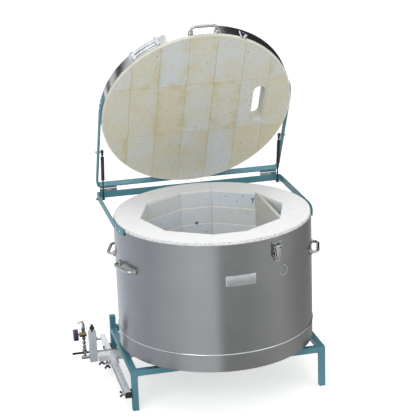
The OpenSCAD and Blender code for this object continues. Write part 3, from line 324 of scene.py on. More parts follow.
def insulatingBrick(name, look, grid):
    finish, tree, skin = newFinish(name)
    at = addNode(tree, "TexCoord", {}).outputs["Object"]
    edge, top, foot, cell = brickCells(tree, at, grid)
    own = addNode(tree, "TexWhiteNoise", {"noise_dimensions": "3D", "Vector": cell})
    ownPart = addNode(tree, "SeparateXYZ", {0: own.outputs["Color"]})
    cloud = addNode(tree, "TexNoise", {"Vector": at, "Scale": perMetre(look["cloudMm"]), "Detail": 4.0,
                                       "Roughness": 0.55})
    mixAt = addNode(tree, "Math", {"operation": "MULTIPLY_ADD", 0: ownPart.outputs[0], 1: look["ownShare"],
                                   2: cloud})
    creamy = addNode(tree, "MapRange", {"Value": mixAt, "From Min": 0.45, "From Max": 0.95})
    ground = addNode(tree, "Mix", {"data_type": "RGBA", 0: creamy, 6: look["cool"], 7: look["cream"]})
    near = addNode(tree, "MapRange", {"interpolation_type": "SMOOTHSTEP", "Value": edge,
                                      "From Min": look["stainMm"] * mm, "From Max": 0.0})
    often = addNode(tree, "MapRange", {"Value": ownPart.outputs[1], "From Min": 0.25, "From Max": 1.0,
                                       "To Min": 0.0, "To Max": look["stainMost"]})
    drift = addNode(tree, "TexNoise", {"Vector": at, "Scale": perMetre(look["driftMm"]), "Detail": 3.0})
    patchy = addNode(tree, "MapRange", {"Value": drift, "From Min": 0.42, "From Max": 0.65})
    soaked = addNode(tree, "Math", {"operation": "MULTIPLY", 0: near, 1: often})
    stain = addNode(tree, "Math", {"operation": "MULTIPLY", 0: soaked, 1: patchy})
    tone = addNode(tree, "Mix", {"data_type": "RGBA", 0: stain, 6: ground, 7: look["stain"]})
    # pores are 1 to 2 mm and specks 2 mm in life; they are drawn up to 3 and 5 mm so that they show
    masks = {}
    for kind in ("pore", "speck"):
        dots = addNode(tree, "TexVoronoi", {"Vector": at, "Scale": perMetre(look[kind + "Mm"]),
                                            "Randomness": 1.0})
        dotOwn = addNode(tree, "SeparateXYZ", {0: dots.outputs["Color"]})
        size = addNode(tree, "MapRange", {"Value": dotOwn.outputs[0], "From Min": look[kind + "From"],
                                          "From Max": 1.0, "To Min": 0.0, "To Max": look[kind + "Most"]})
        masks[kind] = addNode(tree, "Math", {"operation": "LESS_THAN", 0: dots.outputs["Distance"],
                                             1: size})
        dark = addNode(tree, "Math", {"operation": "MULTIPLY", 0: masks[kind], 1: look[kind + "Dark"]})
        tone = addNode(tree, "Mix", {"data_type": "RGBA", 0: dark, 6: tone, 7: look[kind]})
    grain = addNode(tree, "TexNoise", {"Vector": at, "Scale": perMetre(look["grainMm"]), "Detail": 5.0,
                                       "Roughness": 0.7})
    # the joint colour is drawn along each brick's edges on the lid and floor; on the walls it is a painted
    # highlight along the top edge of each course, and the foot of the next one gets painted shade in the
    # pores' colour
    line = addNode(tree, "MapRange", {"interpolation_type": "SMOOTHSTEP", "Value": top,
                                      "From Min": look["jointAndHighlightMm"] * mm, "From Max": 0.0,
                                      "To Min": 0.0, "To Max": grid["lineMost"]})
    uneven = addNode(tree, "Math", {"operation": "MULTIPLY", "use_clamp": True, 0: line, 1: cloud})
    lined = addNode(tree, "Mix", {"data_type": "RGBA", 0: uneven, 6: tone, 7: look["joint"]})
    dusk = addNode(tree, "MapRange", {"interpolation_type": "SMOOTHSTEP", "Value": foot,
                                      "From Min": look["footMm"] * mm, "From Max": 0.0,
                                      "To Min": 0.0, "To Max": grid["footMost"]})
    edged = addNode(tree, "Mix", {"data_type": "RGBA", 0: dusk, 6: lined, 7: look["pore"]})
    mottled = addNode(tree, "MapRange", {"Value": grain, "From Min": 0.3, "From Max": 0.7,
                                         "To Min": 0.91, "To Max": 1.05})
    final = addNode(tree, "VectorMath", {"operation": "SCALE", 0: edged, "Scale": mottled})
    hollow = addNode(tree, "Math", {"operation": "MULTIPLY_ADD", 0: masks["pore"], 1: -look["poreDeep"],
                                    2: grain})
    bump = softRelief(tree, look, hollow)
    addNode(tree, skin, {"Base Color": final, "Normal": bump, "Roughness": look["rough"],
                         "Specular IOR Level": look["shine"]})
    return finish


# vacuum-formed ceramic fibre, matt white: felted surface with faint cream blotches and crumbs; its tufts are
# about half as wide in life, and are drawn this coarse so that they show
fibre = {"tone": "F7F8FA", "cream": "F1F1EE", "feltMm": 4.0, "blotchMm": 55, "bump": 0.35, "torn": "ABACAA",
         "tornFrom": 398 * mm, "tornFull": 404 * mm, "tornMm": 7.0}
boardFibre = {"tone": "CDCFC8", "cream": "C2C2B6", "feltMm": 5.0, "blotchMm": 40, "bump": 0.3}
rimFibre = {"tone": "DFDDD0", "cream": "D3CDB8", "feltMm": 4.0, "blotchMm": 30, "bump": 0.35}
# fired clay of the port sleeves: the same skin, closer and smoother
firedClay = {"tone": "D3D4D3", "cream": "C4C4C0", "feltMm": 2.0, "blotchMm": 12, "bump": 0.15}
# the plug is drawn darker and greyer than its sleeve
greyClay = dict(firedClay, tone="8A8C90", cream="7E8083")
fibreSkin = {"edgeMm": 1.8, "bumpMm": 0.5, "rough": 0.92, "shine": 0.25}


def ceramicFibre(name, look):
    look = dict(fibreSkin, **look)
    finish, tree, skin = newFinish(name)
    at = addNode(tree, "TexCoord", {}).outputs["Object"]
    blotch = addNode(tree, "TexNoise", {"Vector": at, "Scale": perMetre(look["blotchMm"]), "Detail": 5.0,
                                        "Roughness": 0.65})
    felt = addNode(tree, "TexNoise", {"Vector": at, "Scale": perMetre(look["feltMm"]), "Detail": 5.0,
                                      "Roughness": 0.75, "Distortion": 1.2})
    amount = addNode(tree, "MapRange", {"Value": blotch, "From Min": 0.5, "From Max": 0.8})
    mixed = addNode(tree, "Mix", {"data_type": "RGBA", 0: amount, 6: look["tone"], 7: look["cream"]})
    shade = addNode(tree, "MapRange", {"Value": felt, "From Min": 0.25, "From Max": 0.6,
                                       "To Min": 0.94, "To Max": 1.0})
    if "torn" in look:
        # the torn outer edge holds grey crumbs, drawn about twice as coarse as life so that they show
        level = addNode(tree, "VectorMath", {"operation": "MULTIPLY", 0: at, 1: (1, 1, 0)})
        reach = addNode(tree, "VectorMath", {"operation": "DISTANCE", 0: level, 1: axis})
        edge = addNode(tree, "MapRange", {"Value": reach, "From Min": look["tornFrom"],
                                          "From Max": look["tornFull"]})
        crumb = addNode(tree, "TexNoise", {"Vector": at, "Scale": perMetre(look["tornMm"]), "Detail": 3.0,
                                           "Roughness": 0.7})
        dark = addNode(tree, "MapRange", {"Value": crumb, "From Min": 0.50, "From Max": 0.70})
        much = addNode(tree, "Math", {"operation": "MULTIPLY", 0: edge, 1: dark})
        mixed = addNode(tree, "Mix", {"data_type": "RGBA", 0: much, 6: mixed, 7: look["torn"]})
    final = addNode(tree, "VectorMath", {"operation": "SCALE", 0: mixed, "Scale": shade})
    bump = softRelief(tree, look, felt)
    addNode(tree, skin, {"Base Color": final, "Normal": bump, "Roughness": look["rough"],
                         "Specular IOR Level": look["shine"]})
    return finish


# moulded and painted blacks, phenolic knob, cast iron, small brass and copper: one skin, each with its own
# grain and gloss; the grain is under 1 mm in life on most of them, and is drawn wider so that it shows
blackNylon = {"tone": "1B1C1E", "light": "2B2D30", "grainMm": 1.5, "rough": 0.48, "bump": 0.25, "metal": 0.0}
blackEnamel = {"tone": "121315", "light": "24262A", "grainMm": 2.5, "rough": 0.26, "bump": 0.06, "metal": 0.0}
purplePhenolic = {"tone": "2F1638", "light": "4A2854", "grainMm": 2.0, "rough": 0.22, "bump": 0.05,
                  "metal": 0.0}
scaledWire = {"tone": "3E3B38", "light": "5C564E", "grainMm": 2.0, "rough": 0.55, "bump": 0.4, "metal": 0.7}
sandCastIron = {"tone": "4A4A4C", "light": "6A6765", "grainMm": 2.2, "rough": 0.58, "bump": 0.55,
                "metal": 0.85}
turnedBrass = {"tone": "5C523F", "light": "7C7056", "grainMm": 6.0, "rough": 0.24, "bump": 0.08, "metal": 1.0}
drawnCopper = {"tone": "6B5646", "light": "8C7562", "grainMm": 7.0, "rough": 0.32, "bump": 0.08, "metal": 1.0}
anodisedPlate = {"tone": "A9ACB0", "light": "B6B9BD", "grainMm": 2.0, "rough": 0.34, "bump": 0.05,
                 "metal": 0.9}
solidSkin = {"cloudMm": 25, "grainShare": 0.5, "roughDown": 0.06, "roughUp": 0.12, "edgeMm": 0.7,
             "bumpMm": 0.3}


def solidFinish(name, look):
    look = dict(solidSkin, **look)
    finish, tree, skin = newFinish(name)
    at = addNode(tree, "TexCoord", {}).outputs["Object"]
    grain = addNode(tree, "TexNoise", {"Vector": at, "Scale": perMetre(look["grainMm"]), "Detail": 4.0,
                                       "Roughness": 0.65})
    cloud = addNode(tree, "TexNoise", {"Vector": at, "Scale": perMetre(look["cloudMm"]), "Detail": 4.0})
    both = addNode(tree, "Math", {"operation": "MULTIPLY_ADD", 0: grain, 1: look["grainShare"], 2: cloud})
    amount = addNode(tree, "MapRange", {"Value": both, "From Min": 0.5, "From Max": 1.0})
    mixed = addNode(tree, "Mix", {"data_type": "RGBA", 0: amount, 6: look["tone"], 7: look["light"]})
    rough = addNode(tree, "MapRange", {"Value": both, "From Min": 0.4, "From Max": 1.1,
                                       "To Min": look["rough"] - look["roughDown"],
                                       "To Max": look["rough"] + look["roughUp"]})
    bump = softRelief(tree, look, grain)
    addNode(tree, skin, {"Base Color": mixed, "Roughness": rough, "Normal": bump,
                         "Metallic": look["metal"]})
    return finish


satinSteel = satinStainless("satinStainless", satin)
polishedStrip = mirrorMetal("polishedStainless", polished)
chromePlate = mirrorMetal("chromePlate", chrome)
chromeCasting = mirrorMetal("chromeCasting", castChrome)
handleSteel = mirrorMetal("handleSteel", gripSteel)
latchSteel = mirrorMetal("latchSteel", latchPlateDarkReflection)
nickelPlate = mirrorMetal("nickelPlate", nickel)
zincPlate = zincSteel("zincPlate", zinc)
zincMatt = zincSteel("zincMatt", dullZinc)
tealEnamel = powderEnamel("tealEnamel", teal)
lidBrick = insulatingBrick("lidBrick", brick, lidGrid)
floorBrick = insulatingBrick("floorBrick", brick, floorGrid)
wallBrick = insulatingBrick("wallBrick", wallLook, wallGrid)
whiteFibre = ceramicFibre("ceramicFibre", fibre)
agedFibre = ceramicFibre("agedFibre", rimFibre)
pressedBoard = ceramicFibre("pressedBoard", boardFibre)
sleeveClay = ceramicFibre("firedClay", firedClay)
plugClay = ceramicFibre("greyClay", greyClay)
nylon = solidFinish("blackNylon", blackNylon)
strutEnamel = solidFinish("blackEnamel", blackEnamel)
knobPhenolic = solidFinish("purplePhenolic", purplePhenolic)
clipWire = solidFinish("scaledWire", scaledWire)
castIron = solidFinish("sandCastIron", sandCastIron)
brass = solidFinish("turnedBrass", turnedBrass)
copper = solidFinish("drawnCopper", drawnCopper)
plateAluminium = solidFinish("anodisedPlate", anodisedPlate)

dress = {
    "stand_legs stand_rails stand_bearers leg_plugs rear_frame lid_frame": tealEnamel,
    "casing floor_pan": satinSteel,
    "seam_bead lid_band": polishedStrip,
    "side_handles lid_handle": handleSteel,
    "rear_frame_screws lid_frame_screws latch_keeper band_clamp": chromePlate,
    "latch_base": latchSteel,
    "latch_lever latch_bail burner_pipe rail_wing_screw strap_wing_screw plate_wing_screw": chromeCasting,
    "hinge_leaves_lower hinge_leaves_upper strut_studs_lower strut_studs_upper": chromeCasting,
    "gas_valves": nickelPlate,
    "burner_rail burner_bracket": zincPlate,
    "valve_plate": zincMatt,
    "lid_bricks": lidBrick,
    "floor_bricks": floorBrick,
    "course_1 course_2 course_3 course_4 course_5 course_6 baffle_props": wallBrick,
    "floor_board blanket collar": whiteFibre,
    "baffle_board": pressedBoard,
    "lid_rim": agedFibre,
    "peephole_sleeve probe_sleeve": sleeveClay,
    "peephole_plug": plugClay,
    "latch_block rail_fixings push_button": nylon,
    "strut_rod_left strut_rod_right strut_cylinder_left strut_cylinder_right": strutEnamel,
    "gas_knob": knobPhenolic,
    "baffle_clips": clipWire,
    "burner": castIron,
    "gas_lever": brass,
    "sensor_lead": copper,
}
for names, finish in dress.items():
    for nodeName in names.split():
        mesh = nodes[nodeName].data
        mesh.materials.clear()
        mesh.materials.append(finish)
print("finishes on", sum(len(names.split()) for names in dress), "nodes")


def linkMesh(name, bm, finish):
    mesh = bpy.data.meshes.new(name)
    bm.to_mesh(mesh)
    bm.free()
    mesh.materials.append(finish)
    piece = bpy.data.objects.new(name, mesh)
    scene.collection.objects.link(piece)
    return piece


# smooth piece on a body; edges that turn by more than sharp degrees stay crisp
def makePiece(name, bm, finish, body, sharp=38):
    bmesh.ops.recalc_face_normals(bm, faces=bm.faces)
    piece = linkMesh(name, bm, finish)
    for face in piece.data.polygons:
        face.use_smooth = True
    piece.data.set_sharp_from_angle(angle=math.radians(sharp))
    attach(piece, body)


# turns a profile of (radius, height) in mm about the place's Z axis; a third entry makes its ring six-sided
def turned(bm, profile, place, segments):
    rings = []
    for r, h, *hexed in profile:
        ring = []
        for k in range(segments):
            a = fullTurn * k / segments
            flat = math.cos(math.pi / 6) / math.cos(a % (math.pi / 3) - math.pi / 6) if hexed else 1.0
            point = Vector((r * flat * math.cos(a), r * flat * math.sin(a), h)) * mm
            ring.append(bm.verts.new(place @ point))
        rings.append(ring)
    for lower, upper in zip(rings, rings[1:]):
        for k in range(segments):
            n = (k + 1) % segments
            bm.faces.new((lower[k], lower[n], upper[n], upper[k]))
    bm.faces.new(rings[0][::-1])
    bm.faces.new(rings[-1])


# makes a piece of turned shapes, each given as profile, place and segments
def turnedPiece(name, shapes, finish, body):
    bm = bmesh.new()
    for profile, place, segments in shapes:
        turned(bm, profile, place, segments)
    makePiece(name, bm, finish, body)


# sweeps a round of changing radius along a path
def swept(bm, points, radii, segments, closed=False):
    count = len(points)
    rings = []
    for k, point in enumerate(points):
        before = points[(k - 1) % count] if closed or k else point
        after = points[(k + 1) % count] if closed or k < count - 1 else point
        along = (after - before).normalized()
        side = (side - along * side.dot(along)).normalized() if rings else along.orthogonal().normalized()
        other = along.cross(side).normalized()
        turns = [fullTurn * s / segments for s in range(segments)]
        rings.append([bm.verts.new(point + radii[k] * (math.cos(t) * side + math.sin(t) * other))
                      for t in turns])
    pairs = list(zip(rings, rings[1:])) + ([(rings[-1], rings[0])] if closed else [])
    for first, second in pairs:
        for s in range(segments):
            n = (s + 1) % segments
            bm.faces.new((first[s], first[n], second[n], second[s]))
    if not closed:
        bm.faces.new(rings[0][::-1])
        bm.faces.new(rings[-1])


# a place on a round wall: X runs round it, Y up and Z outwards
def onWall(deg, r, z):
    a = math.radians(deg)
    out = Vector((math.cos(a), math.sin(a), 0))
    across = Vector((-math.sin(a), math.cos(a), 0))
    spin = Matrix((across, Vector((0, 0, 1)), out)).transposed().to_4x4()
    return Matrix.Translation(axis + out * r + Vector((0, 0, z))) @ spin


# a place at a point, with its Z along a direction
def facing(point, along):
    return Matrix.Translation(point) @ Vector(along).to_track_quat("Z", "Y").to_matrix().to_4x4()


# sheet rolled to the jacket: each layer is a distance from the axis and a row of (angle, low, high)
def rolledSheet(bm, layers):
    loops = []
    for r, columns in layers:
        lowEdge = [bm.verts.new(onWall(deg, r, low).translation) for deg, low, high in columns]
        highEdge = [bm.verts.new(onWall(deg, r, high).translation) for deg, low, high in columns]
        loops.append((lowEdge, highEdge))
    last = len(loops[0][0]) - 1
    for (lowA, highA), (lowB, highB) in zip(loops, loops[1:]):
        for k in range(last):
            bm.faces.new((lowA[k], lowA[k + 1], lowB[k + 1], lowB[k]))
            bm.faces.new((highA[k + 1], highA[k], highB[k], highB[k + 1]))
        for k in (0, last):
            bm.faces.new((lowA[k], highA[k], highB[k], lowB[k]))
    for lowEdge, highEdge in (loops[0], loops[-1]):
        for k in range(last):
            bm.faces.new((lowEdge[k], lowEdge[k + 1], highEdge[k + 1], highEdge[k]))


# heads of rivets and socket screws, set a little into what they hold
def rivetHead(r, h):
    return [(r, -0.4), (r, 0.12 * h), (0.9 * r, 0.45 * h), (0.68 * r, 0.78 * h), (0.38 * r, 0.96 * h),
            (0.1 * r, h)]


def socketHead(r, h):
    return [(r, -0.3), (r, 0.45 * h), (0.88 * r, 0.85 * h), (0.66 * r, h), (0.56 * r, h, "hex"),
            (0.54 * r, 0.35 * h, "hex"), (0.1 * r, 0.3 * h, "hex")]


# bare plate on the jacket: a rounded sheet rolled to its curve, with four small rivets
namePlate = {"fromDeg": -97.0, "toDeg": -79.6, "low": 565 * mm, "high": 609 * mm, "thick": 1.2 * mm,
             "sunk": 0.5 * mm, "shoulder": 0.7, "bevel": 0.5 * mm, "corner": 5 * mm, "cornerSteps": 6,
             "steps": 20, "rivetR": 1.7, "rivetH": 1.0, "rivetInDeg": 0.9, "rivetIn": 6 * mm,
             "rivetSides": 16}

bm = bmesh.new()
low, high, thick, corner = (namePlate[k] for k in ("low", "high", "thick", "corner"))
width = math.radians(namePlate["toDeg"] - namePlate["fromDeg"]) * casingR
steps, cornerSteps = namePlate["steps"], namePlate["cornerSteps"]
cornerRun = [corner * (1 - math.cos(math.pi / 2 * k / cornerSteps)) for k in range(cornerSteps + 1)]
middleRun = [corner + (width - 2 * corner) * k / steps for k in range(1, steps)]
layers = []
for depth, inset in ((-namePlate["sunk"], 0.0), (namePlate["shoulder"] * thick, 0.0),
                     (thick, namePlate["bevel"])):
    columns = []
    for s in cornerRun + middleRun + [width - s for s in reversed(cornerRun)]:
        cut = max(corner - min(s, width - s), 0.0)
        drop = corner - math.sqrt(max(corner ** 2 - cut ** 2, 0.0))
        deg = namePlate["fromDeg"] + math.degrees(min(max(s, inset), width - inset) / casingR)
        columns.append((deg, low + drop + inset, high - drop - inset))
    layers.append((casingR + depth, columns))
rolledSheet(bm, layers)
for deg in (namePlate["fromDeg"] + namePlate["rivetInDeg"], namePlate["toDeg"] - namePlate["rivetInDeg"]):
    for z in (low + namePlate["rivetIn"], high - namePlate["rivetIn"]):
        turned(bm, rivetHead(namePlate["rivetR"], namePlate["rivetH"]), onWall(deg, casingR + thick, z),
               namePlate["rivetSides"])
makePiece("namePlateBare", bm, plateAluminium, "kiln")
print("plate made")


# socket screws through the hinge leaves, in two rows; places from the kiln's axis, in mm
hingeScrews = {"x": 362, "offsets": (-29, -11, 11, 29), "face": 419, "r": 3.6, "h": 2.2, "sides": 24,
               "rows": {"Lower": ("kiln", (732, 741)), "Upper": ("lid", (775, 784))}}

for label, (body, levels) in hingeScrews["rows"].items():
    heads = []
    for side in (-1, 1):
        for k, offset in enumerate(hingeScrews["offsets"]):
            point = Vector((side * hingeScrews["x"] + offset, hingeScrews["face"], levels[k % 2])) * mm
            place = bodyTurn[body] @ facing(axis + point, (0, 1, 0))
            heads.append((socketHead(hingeScrews["r"], hingeScrews["h"]), place, hingeScrews["sides"]))
    turnedPiece("hingeScrews" + label, heads, chromeCasting, body)


# turned collars where the handle legs meet their feet, this far out from the wall
footOut = 5.6 * mm
collarSides = 28
handleFeet = {"handleCollars": {"body": "kiln", "degs": (17.5, -17.5, 162.5, 197.5), "r": casingR,
                                "z": 587 * mm, "half": 65 * mm},
              "lidHandleCollars": {"body": "lid", "degs": (-90,), "r": 405.5 * mm,
                                   "z": 774.5 * mm, "half": 55 * mm}}
collarProfile = [(7.2, -1.0), (11.4, -1.0), (11.2, 0.6), (9.8, 1.6), (8.8, 2.8), (8.0, 3.6), (7.2, 3.8)]

for name, feet in handleFeet.items():
    reach = math.sqrt(feet["r"] ** 2 - feet["half"] ** 2) + footOut
    collars = []
    for deg in feet["degs"]:
        for side in (-1, 1):
            foot = onWall(deg, 0, feet["z"]) @ Matrix.Translation((side * feet["half"], 0, reach))
            collars.append((collarProfile, bodyTurn[feet["body"]] @ foot, collarSides))
    turnedPiece(name, collars, handleSteel, feet["body"])


# rivets of the latch plate, its block and the keeper: way across, height and distance from the axis, in mm
latchRivets = {"deg": -66, "r": 2.6, "h": 1.4, "sides": 20,
               "latchRivets": ("kiln", ((-18, 716, 413), (18, 716, 413), (18, 664, 413), (-18.6, 666, 416),
                                        (-18.6, 684, 416))),
               "keeperRivets": ("lid", ((-6.5, 764, 407.5), (6.5, 764, 407.5), (-6.5, 790, 407.5),
                                        (6.5, 790, 407.5)))}

for name in ("latchRivets", "keeperRivets"):
    body, spots = latchRivets[name]
    heads = []
    for across, z, out in spots:
        place = onWall(latchRivets["deg"], out * mm, z * mm) @ Matrix.Translation((across * mm, 0, 0))
        heads.append((rivetHead(latchRivets["r"], latchRivets["h"]), bodyTurn[body] @ place,
                      latchRivets["sides"]))
    turnedPiece(name, heads, chromeCasting, body)


# weld beads round the tube joints, under the paint: rows of small ripples; places from the kiln's axis, in mm
welds = {"r": 2.0, "ripple": 0.45, "endR": 0.6, "step": 1.6, "x": 387, "outer": 412, "front": (-231, -206),
         "rear": (260, 285), "low": 153, "high": 178, "bearer": 280, "half": 12.5, "sides": 8,
         "sharp": 60}


def weldPath(corners):
    points = []
    for first, second in zip(corners, corners[1:]):
        a, b = Vector(first) * mm, Vector(second) * mm
        steps = max(int((b - a).length / (welds["step"] * mm)), 1)
        points += [axis + a.lerp(b, k / steps) for k in range(steps)]
    points.append(axis + Vector(corners[-1]) * mm)
    return points


bm = bmesh.new()
low, high = welds["low"], welds["high"]
paths = []
for side in (-1, 1):
    x, outer = side * welds["x"], side * welds["outer"]
    for near, far in (welds["front"], welds["rear"]):
        paths.append([(x, near, high), (x, near, low), (x, far, low), (x, far, high)])
        for edge in (-welds["half"], welds["half"]):
            bearerX = side * welds["bearer"] + edge
            paths.append([(bearerX, near, high), (bearerX, far, high)])
    for y in (welds["front"][1], welds["rear"][0]):
        paths.append([(x, y, low), (outer, y, low), (outer, y, high)])
for corners in paths:
    points = weldPath(corners)
    radii = [(welds["r"] + welds["ripple"] * (1 if k % 2 else -1)) * mm for k in range(len(points))]
    radii[0] = radii[-1] = welds["endR"] * mm
    swept(bm, points, radii, welds["sides"])
makePiece("weldBeads", bm, tealEnamel, "kiln", welds["sharp"])
print("screws, collars, rivets and welds made")


# lap joint of the jacket at the back: a rolled strip with pop rivets
lapSeam = {"deg": 112.0, "half": 13 * mm, "low": 281 * mm, "high": 718 * mm, "thick": 1.5 * mm,
           "sunk": 0.4 * mm, "steps": 6, "rivets": 9, "rivetEnd": 20 * mm, "rivetR": 3.4, "rivetH": 1.6,
           "rivetSides": 20}

bm = bmesh.new()
low, high, steps = lapSeam["low"], lapSeam["high"], lapSeam["steps"]
columns = [(lapSeam["deg"] + math.degrees(lapSeam["half"] * (2 * k / steps - 1) / casingR), low, high)
           for k in range(steps + 1)]
rolledSheet(bm, [(casingR - lapSeam["sunk"], columns), (casingR + lapSeam["thick"], columns)])
for k in range(lapSeam["rivets"]):
    z = low + lapSeam["rivetEnd"] + (high - low - 2 * lapSeam["rivetEnd"]) * k / (lapSeam["rivets"] - 1)
    turned(bm, rivetHead(lapSeam["rivetR"], lapSeam["rivetH"]),
           onWall(lapSeam["deg"], casingR + lapSeam["thick"], z), lapSeam["rivetSides"])
makePiece("jacketLapSeam", bm, satinSteel, "kiln")


# rings on the strut cylinders, in mm: gland and crimp at one end, shoulder and nut at the other
strutRings = {"open": 224.4766, "neck": 28, "length": 105, "r": 7.5, "lip": 0.35, "seat": 0.05, "nutR": 5.6,
              "sides": 32, "nutSides": 24}

for label in ("left", "right"):
    pivot = Vector(joints["strut_swing_" + label]["pos_m"])
    along = Vector(joints["strut_stroke_" + label]["axis"])
    start = (strutRings["open"] - strutRings["neck"] - strutRings["length"]) * mm
    place = facing(pivot + along * start, along)
    r, top = strutRings["r"], strutRings["length"]
    proud, seat = r + strutRings["lip"], r - strutRings["seat"]
    gland = [(0.56 * r, -3.0), (0.9 * r, -3.0), (proud, -1.8), (proud, 3.4), (seat, 4.2)]
    crimp = [(seat, 10.5), (proud, 11.2), (proud, 13.0), (seat, 13.7)]
    shoulder = [(r + 0.1, top - 6), (r + 0.2, top - 1), (0.88 * r, top + 1.5), (0.58 * r, top + 2.6)]
    nut = [(strutRings["nutR"], top + 12, "hex"), (strutRings["nutR"], top + 18, "hex")]
    turnedPiece("strutRings." + label,
                [(profile, place, strutRings["sides"]) for profile in (gland, crimp, shoulder)]
                + [(nut, place, strutRings["nutSides"])],
                strutEnamel, "strut_cylinder_" + label)


# turned cap in the gas knob; washer, nut and stud on the lever's spindle; places from the kiln's axis, in mm
gasTrim = {"knobFace": (-590.3, 150, 204.5), "leverFace": (-546.3, 132, 126.5), "capSides": 36,
           "washerSides": 28, "nutSides": 24, "studSides": 20}
capProfile = [(13, -0.5), (13, 0.6), (12.2, 1.3), (9.0, 1.5), (8.4, 0.9), (7.6, 0.9), (7.0, 1.5), (0.6, 1.7)]
washerProfile = [(5.4, -0.4), (5.4, 0.9)]
nutProfile = [(4.4, 0.8, "hex"), (4.4, 3.6, "hex"), (3.6, 4.1, "hex")]
studProfile = [(2.2, 4.0), (2.2, 5.2), (1.6, 5.8)]

place = facing(axis + Vector(gasTrim["knobFace"]) * mm, (-1, 0, 0))
turnedPiece("knobCap", [(capProfile, place, gasTrim["capSides"])], plateAluminium, "gas_knob")
place = facing(axis + Vector(gasTrim["leverFace"]) * mm, (0, -1, 0))
turnedPiece("leverNut", [(washerProfile, place, gasTrim["washerSides"]),
                         (nutProfile, place, gasTrim["nutSides"]),
                         (studProfile, place, gasTrim["studSides"])],
            chromeCasting, "gas_lever")


# flame holder in the burner's mouth, in mm: a pierced disc with a rolled rim and a domed boss
flameHolder = {"place": (-200, 150, 184), "r": 19.2, "thick": 1.2, "holes": 8, "ringR": 11.5, "holeR": 2.6,
               "hubR": 5.0, "rimR": 0.8, "rimSteps": 64, "rimSides": 8, "bossSides": 24}
bossProfile = [(5.1, -0.2), (5.1, 1.4), (3.0, 3.2), (0.5, 3.6)]


def discPoint(r, angle, level=0.0):
    return Vector((r * math.cos(angle), r * math.sin(angle), level)) * mm


bm = bmesh.new()
centre = axis + Vector(flameHolder["place"]) * mm
discR, hubR, ringR, thick = (flameHolder[k] for k in ("r", "hubR", "ringR", "thick"))
halfShare = math.pi / flameHolder["holes"]
# edge of one hole's share of the disc, as radius and part of the half angle, from its outer side's middle
shareEdge = [(discR, 0), (discR, 0.5), (discR, 1), ((discR + ringR) / 2, 1), (ringR, 1),
             ((hubR + ringR) / 2, 1), (hubR, 1), (hubR, 0.5)]
shareEdge += [(hubR, 0)] + [(r, -part) for r, part in reversed(shareEdge[1:])]
sides = len(shareEdge)
for k in range(flameHolder["holes"]):
    mid = (2 * k + 1) * halfShare
    hub = centre + discPoint(ringR, mid)
    rings = []
    for level in (0.0, thick):
        hole = [bm.verts.new(hub + discPoint(flameHolder["holeR"], mid + fullTurn * s / sides, level))
                for s in range(sides)]
        border = [bm.verts.new(centre + discPoint(r, mid + part * halfShare, level)) for r, part in shareEdge]
        rings.append((hole, border))
    (holeLow, borderLow), (holeHigh, borderHigh) = rings
    for s in range(sides):
        n = (s + 1) % sides
        bm.faces.new((holeLow[s], holeLow[n], borderLow[n], borderLow[s]))
        bm.faces.new((holeHigh[n], holeHigh[s], borderHigh[s], borderHigh[n]))
        bm.faces.new((holeLow[n], holeLow[s], holeHigh[s], holeHigh[n]))
        if shareEdge[s][0] == shareEdge[n][0]:
            bm.faces.new((borderLow[s], borderLow[n], borderHigh[n], borderHigh[s]))
bmesh.ops.remove_doubles(bm, verts=bm.verts, dist=0.001 * mm)
rimSteps = flameHolder["rimSteps"]
rimCircle = [centre + discPoint(discR - flameHolder["rimR"], fullTurn * k / rimSteps, thick)
             for k in range(rimSteps)]
swept(bm, rimCircle, [flameHolder["rimR"] * mm] * rimSteps, flameHolder["rimSides"], closed=True)
turned(bm, bossProfile, Matrix.Translation(centre), flameHolder["bossSides"])
makePiece("flameHolder", bm, castIron, "burner_set")
print("strut, valve and burner trim made")


# studio: pale floor that keeps the shadow, white surround, soft lamps, and cards for the steel to mirror
studio = {"floorTone": "EDEDEC", "floorSize": 45, "floorDrop": 0.4 * mm, "floorLift": 0.54, "worldSoft": 0.57,
          "paperRough": 0.9, "white": "FFFFFF", "aimHigh": 0.6}
lamps = {"keyLamp": {"place": (-3.6, -4.6, 4.2), "size": 3.2, "power": 135},
         "fillLamp": {"place": (4.2, -4.2, 2.6), "size": 3.0, "power": 45},
         "topLamp": {"place": (0.2, 0.4, 5.2), "size": 3.4, "power": 70}}


# 1 for what is seen straight, in a mirror or through glass, and 0 for light that falls on the kiln
def plainlySeen(tree):
    path = addNode(tree, "LightPath", {})
    seen = addNode(tree, "Math", {"operation": "ADD", 0: path.outputs["Is Camera Ray"],
                                  1: path.outputs["Is Glossy Ray"]})
    return addNode(tree, "Math", {"operation": "ADD", "use_clamp": True, 0: seen,
                                  1: path.outputs["Is Transmission Ray"]})


floorPaper, tree, skin = newFinish("floorPaper")
lift = addNode(tree, "Math", {"operation": "MULTIPLY", 0: plainlySeen(tree), 1: studio["floorLift"]})
addNode(tree, skin, {"Base Color": studio["floorTone"], "Roughness": studio["paperRough"],
                     "Specular IOR Level": 0.0, "Emission Color": studio["white"], "Emission Strength": lift})
bm = bmesh.new()
bmesh.ops.create_grid(bm, x_segments=8, y_segments=8, size=studio["floorSize"])
floor = linkMesh("studioFloor", bm, floorPaper)
floor.location.z = -studio["floorDrop"]

world = bpy.data.worlds.new("studioWorld")
scene.world = world
world.use_nodes = True
tree = world.node_tree
strength = addNode(tree, "MapRange", {"Value": plainlySeen(tree), "To Min": studio["worldSoft"],
                                      "To Max": 1.0})
addNode(tree, tree.nodes["Background"], {"Color": studio["white"], "Strength": strength})

for name, lamp in lamps.items():
    data = bpy.data.lights.new(name, "AREA")
    data.size = lamp["size"]
    data.energy = lamp["power"]
    lampObject = bpy.data.objects.new(name, data)
    scene.collection.objects.link(lampObject)
    aim = Vector((axis.x, axis.y, studio["aimHigh"])) - Vector(lamp["place"])
    lampObject.matrix_world = facing(lamp["place"], -aim)
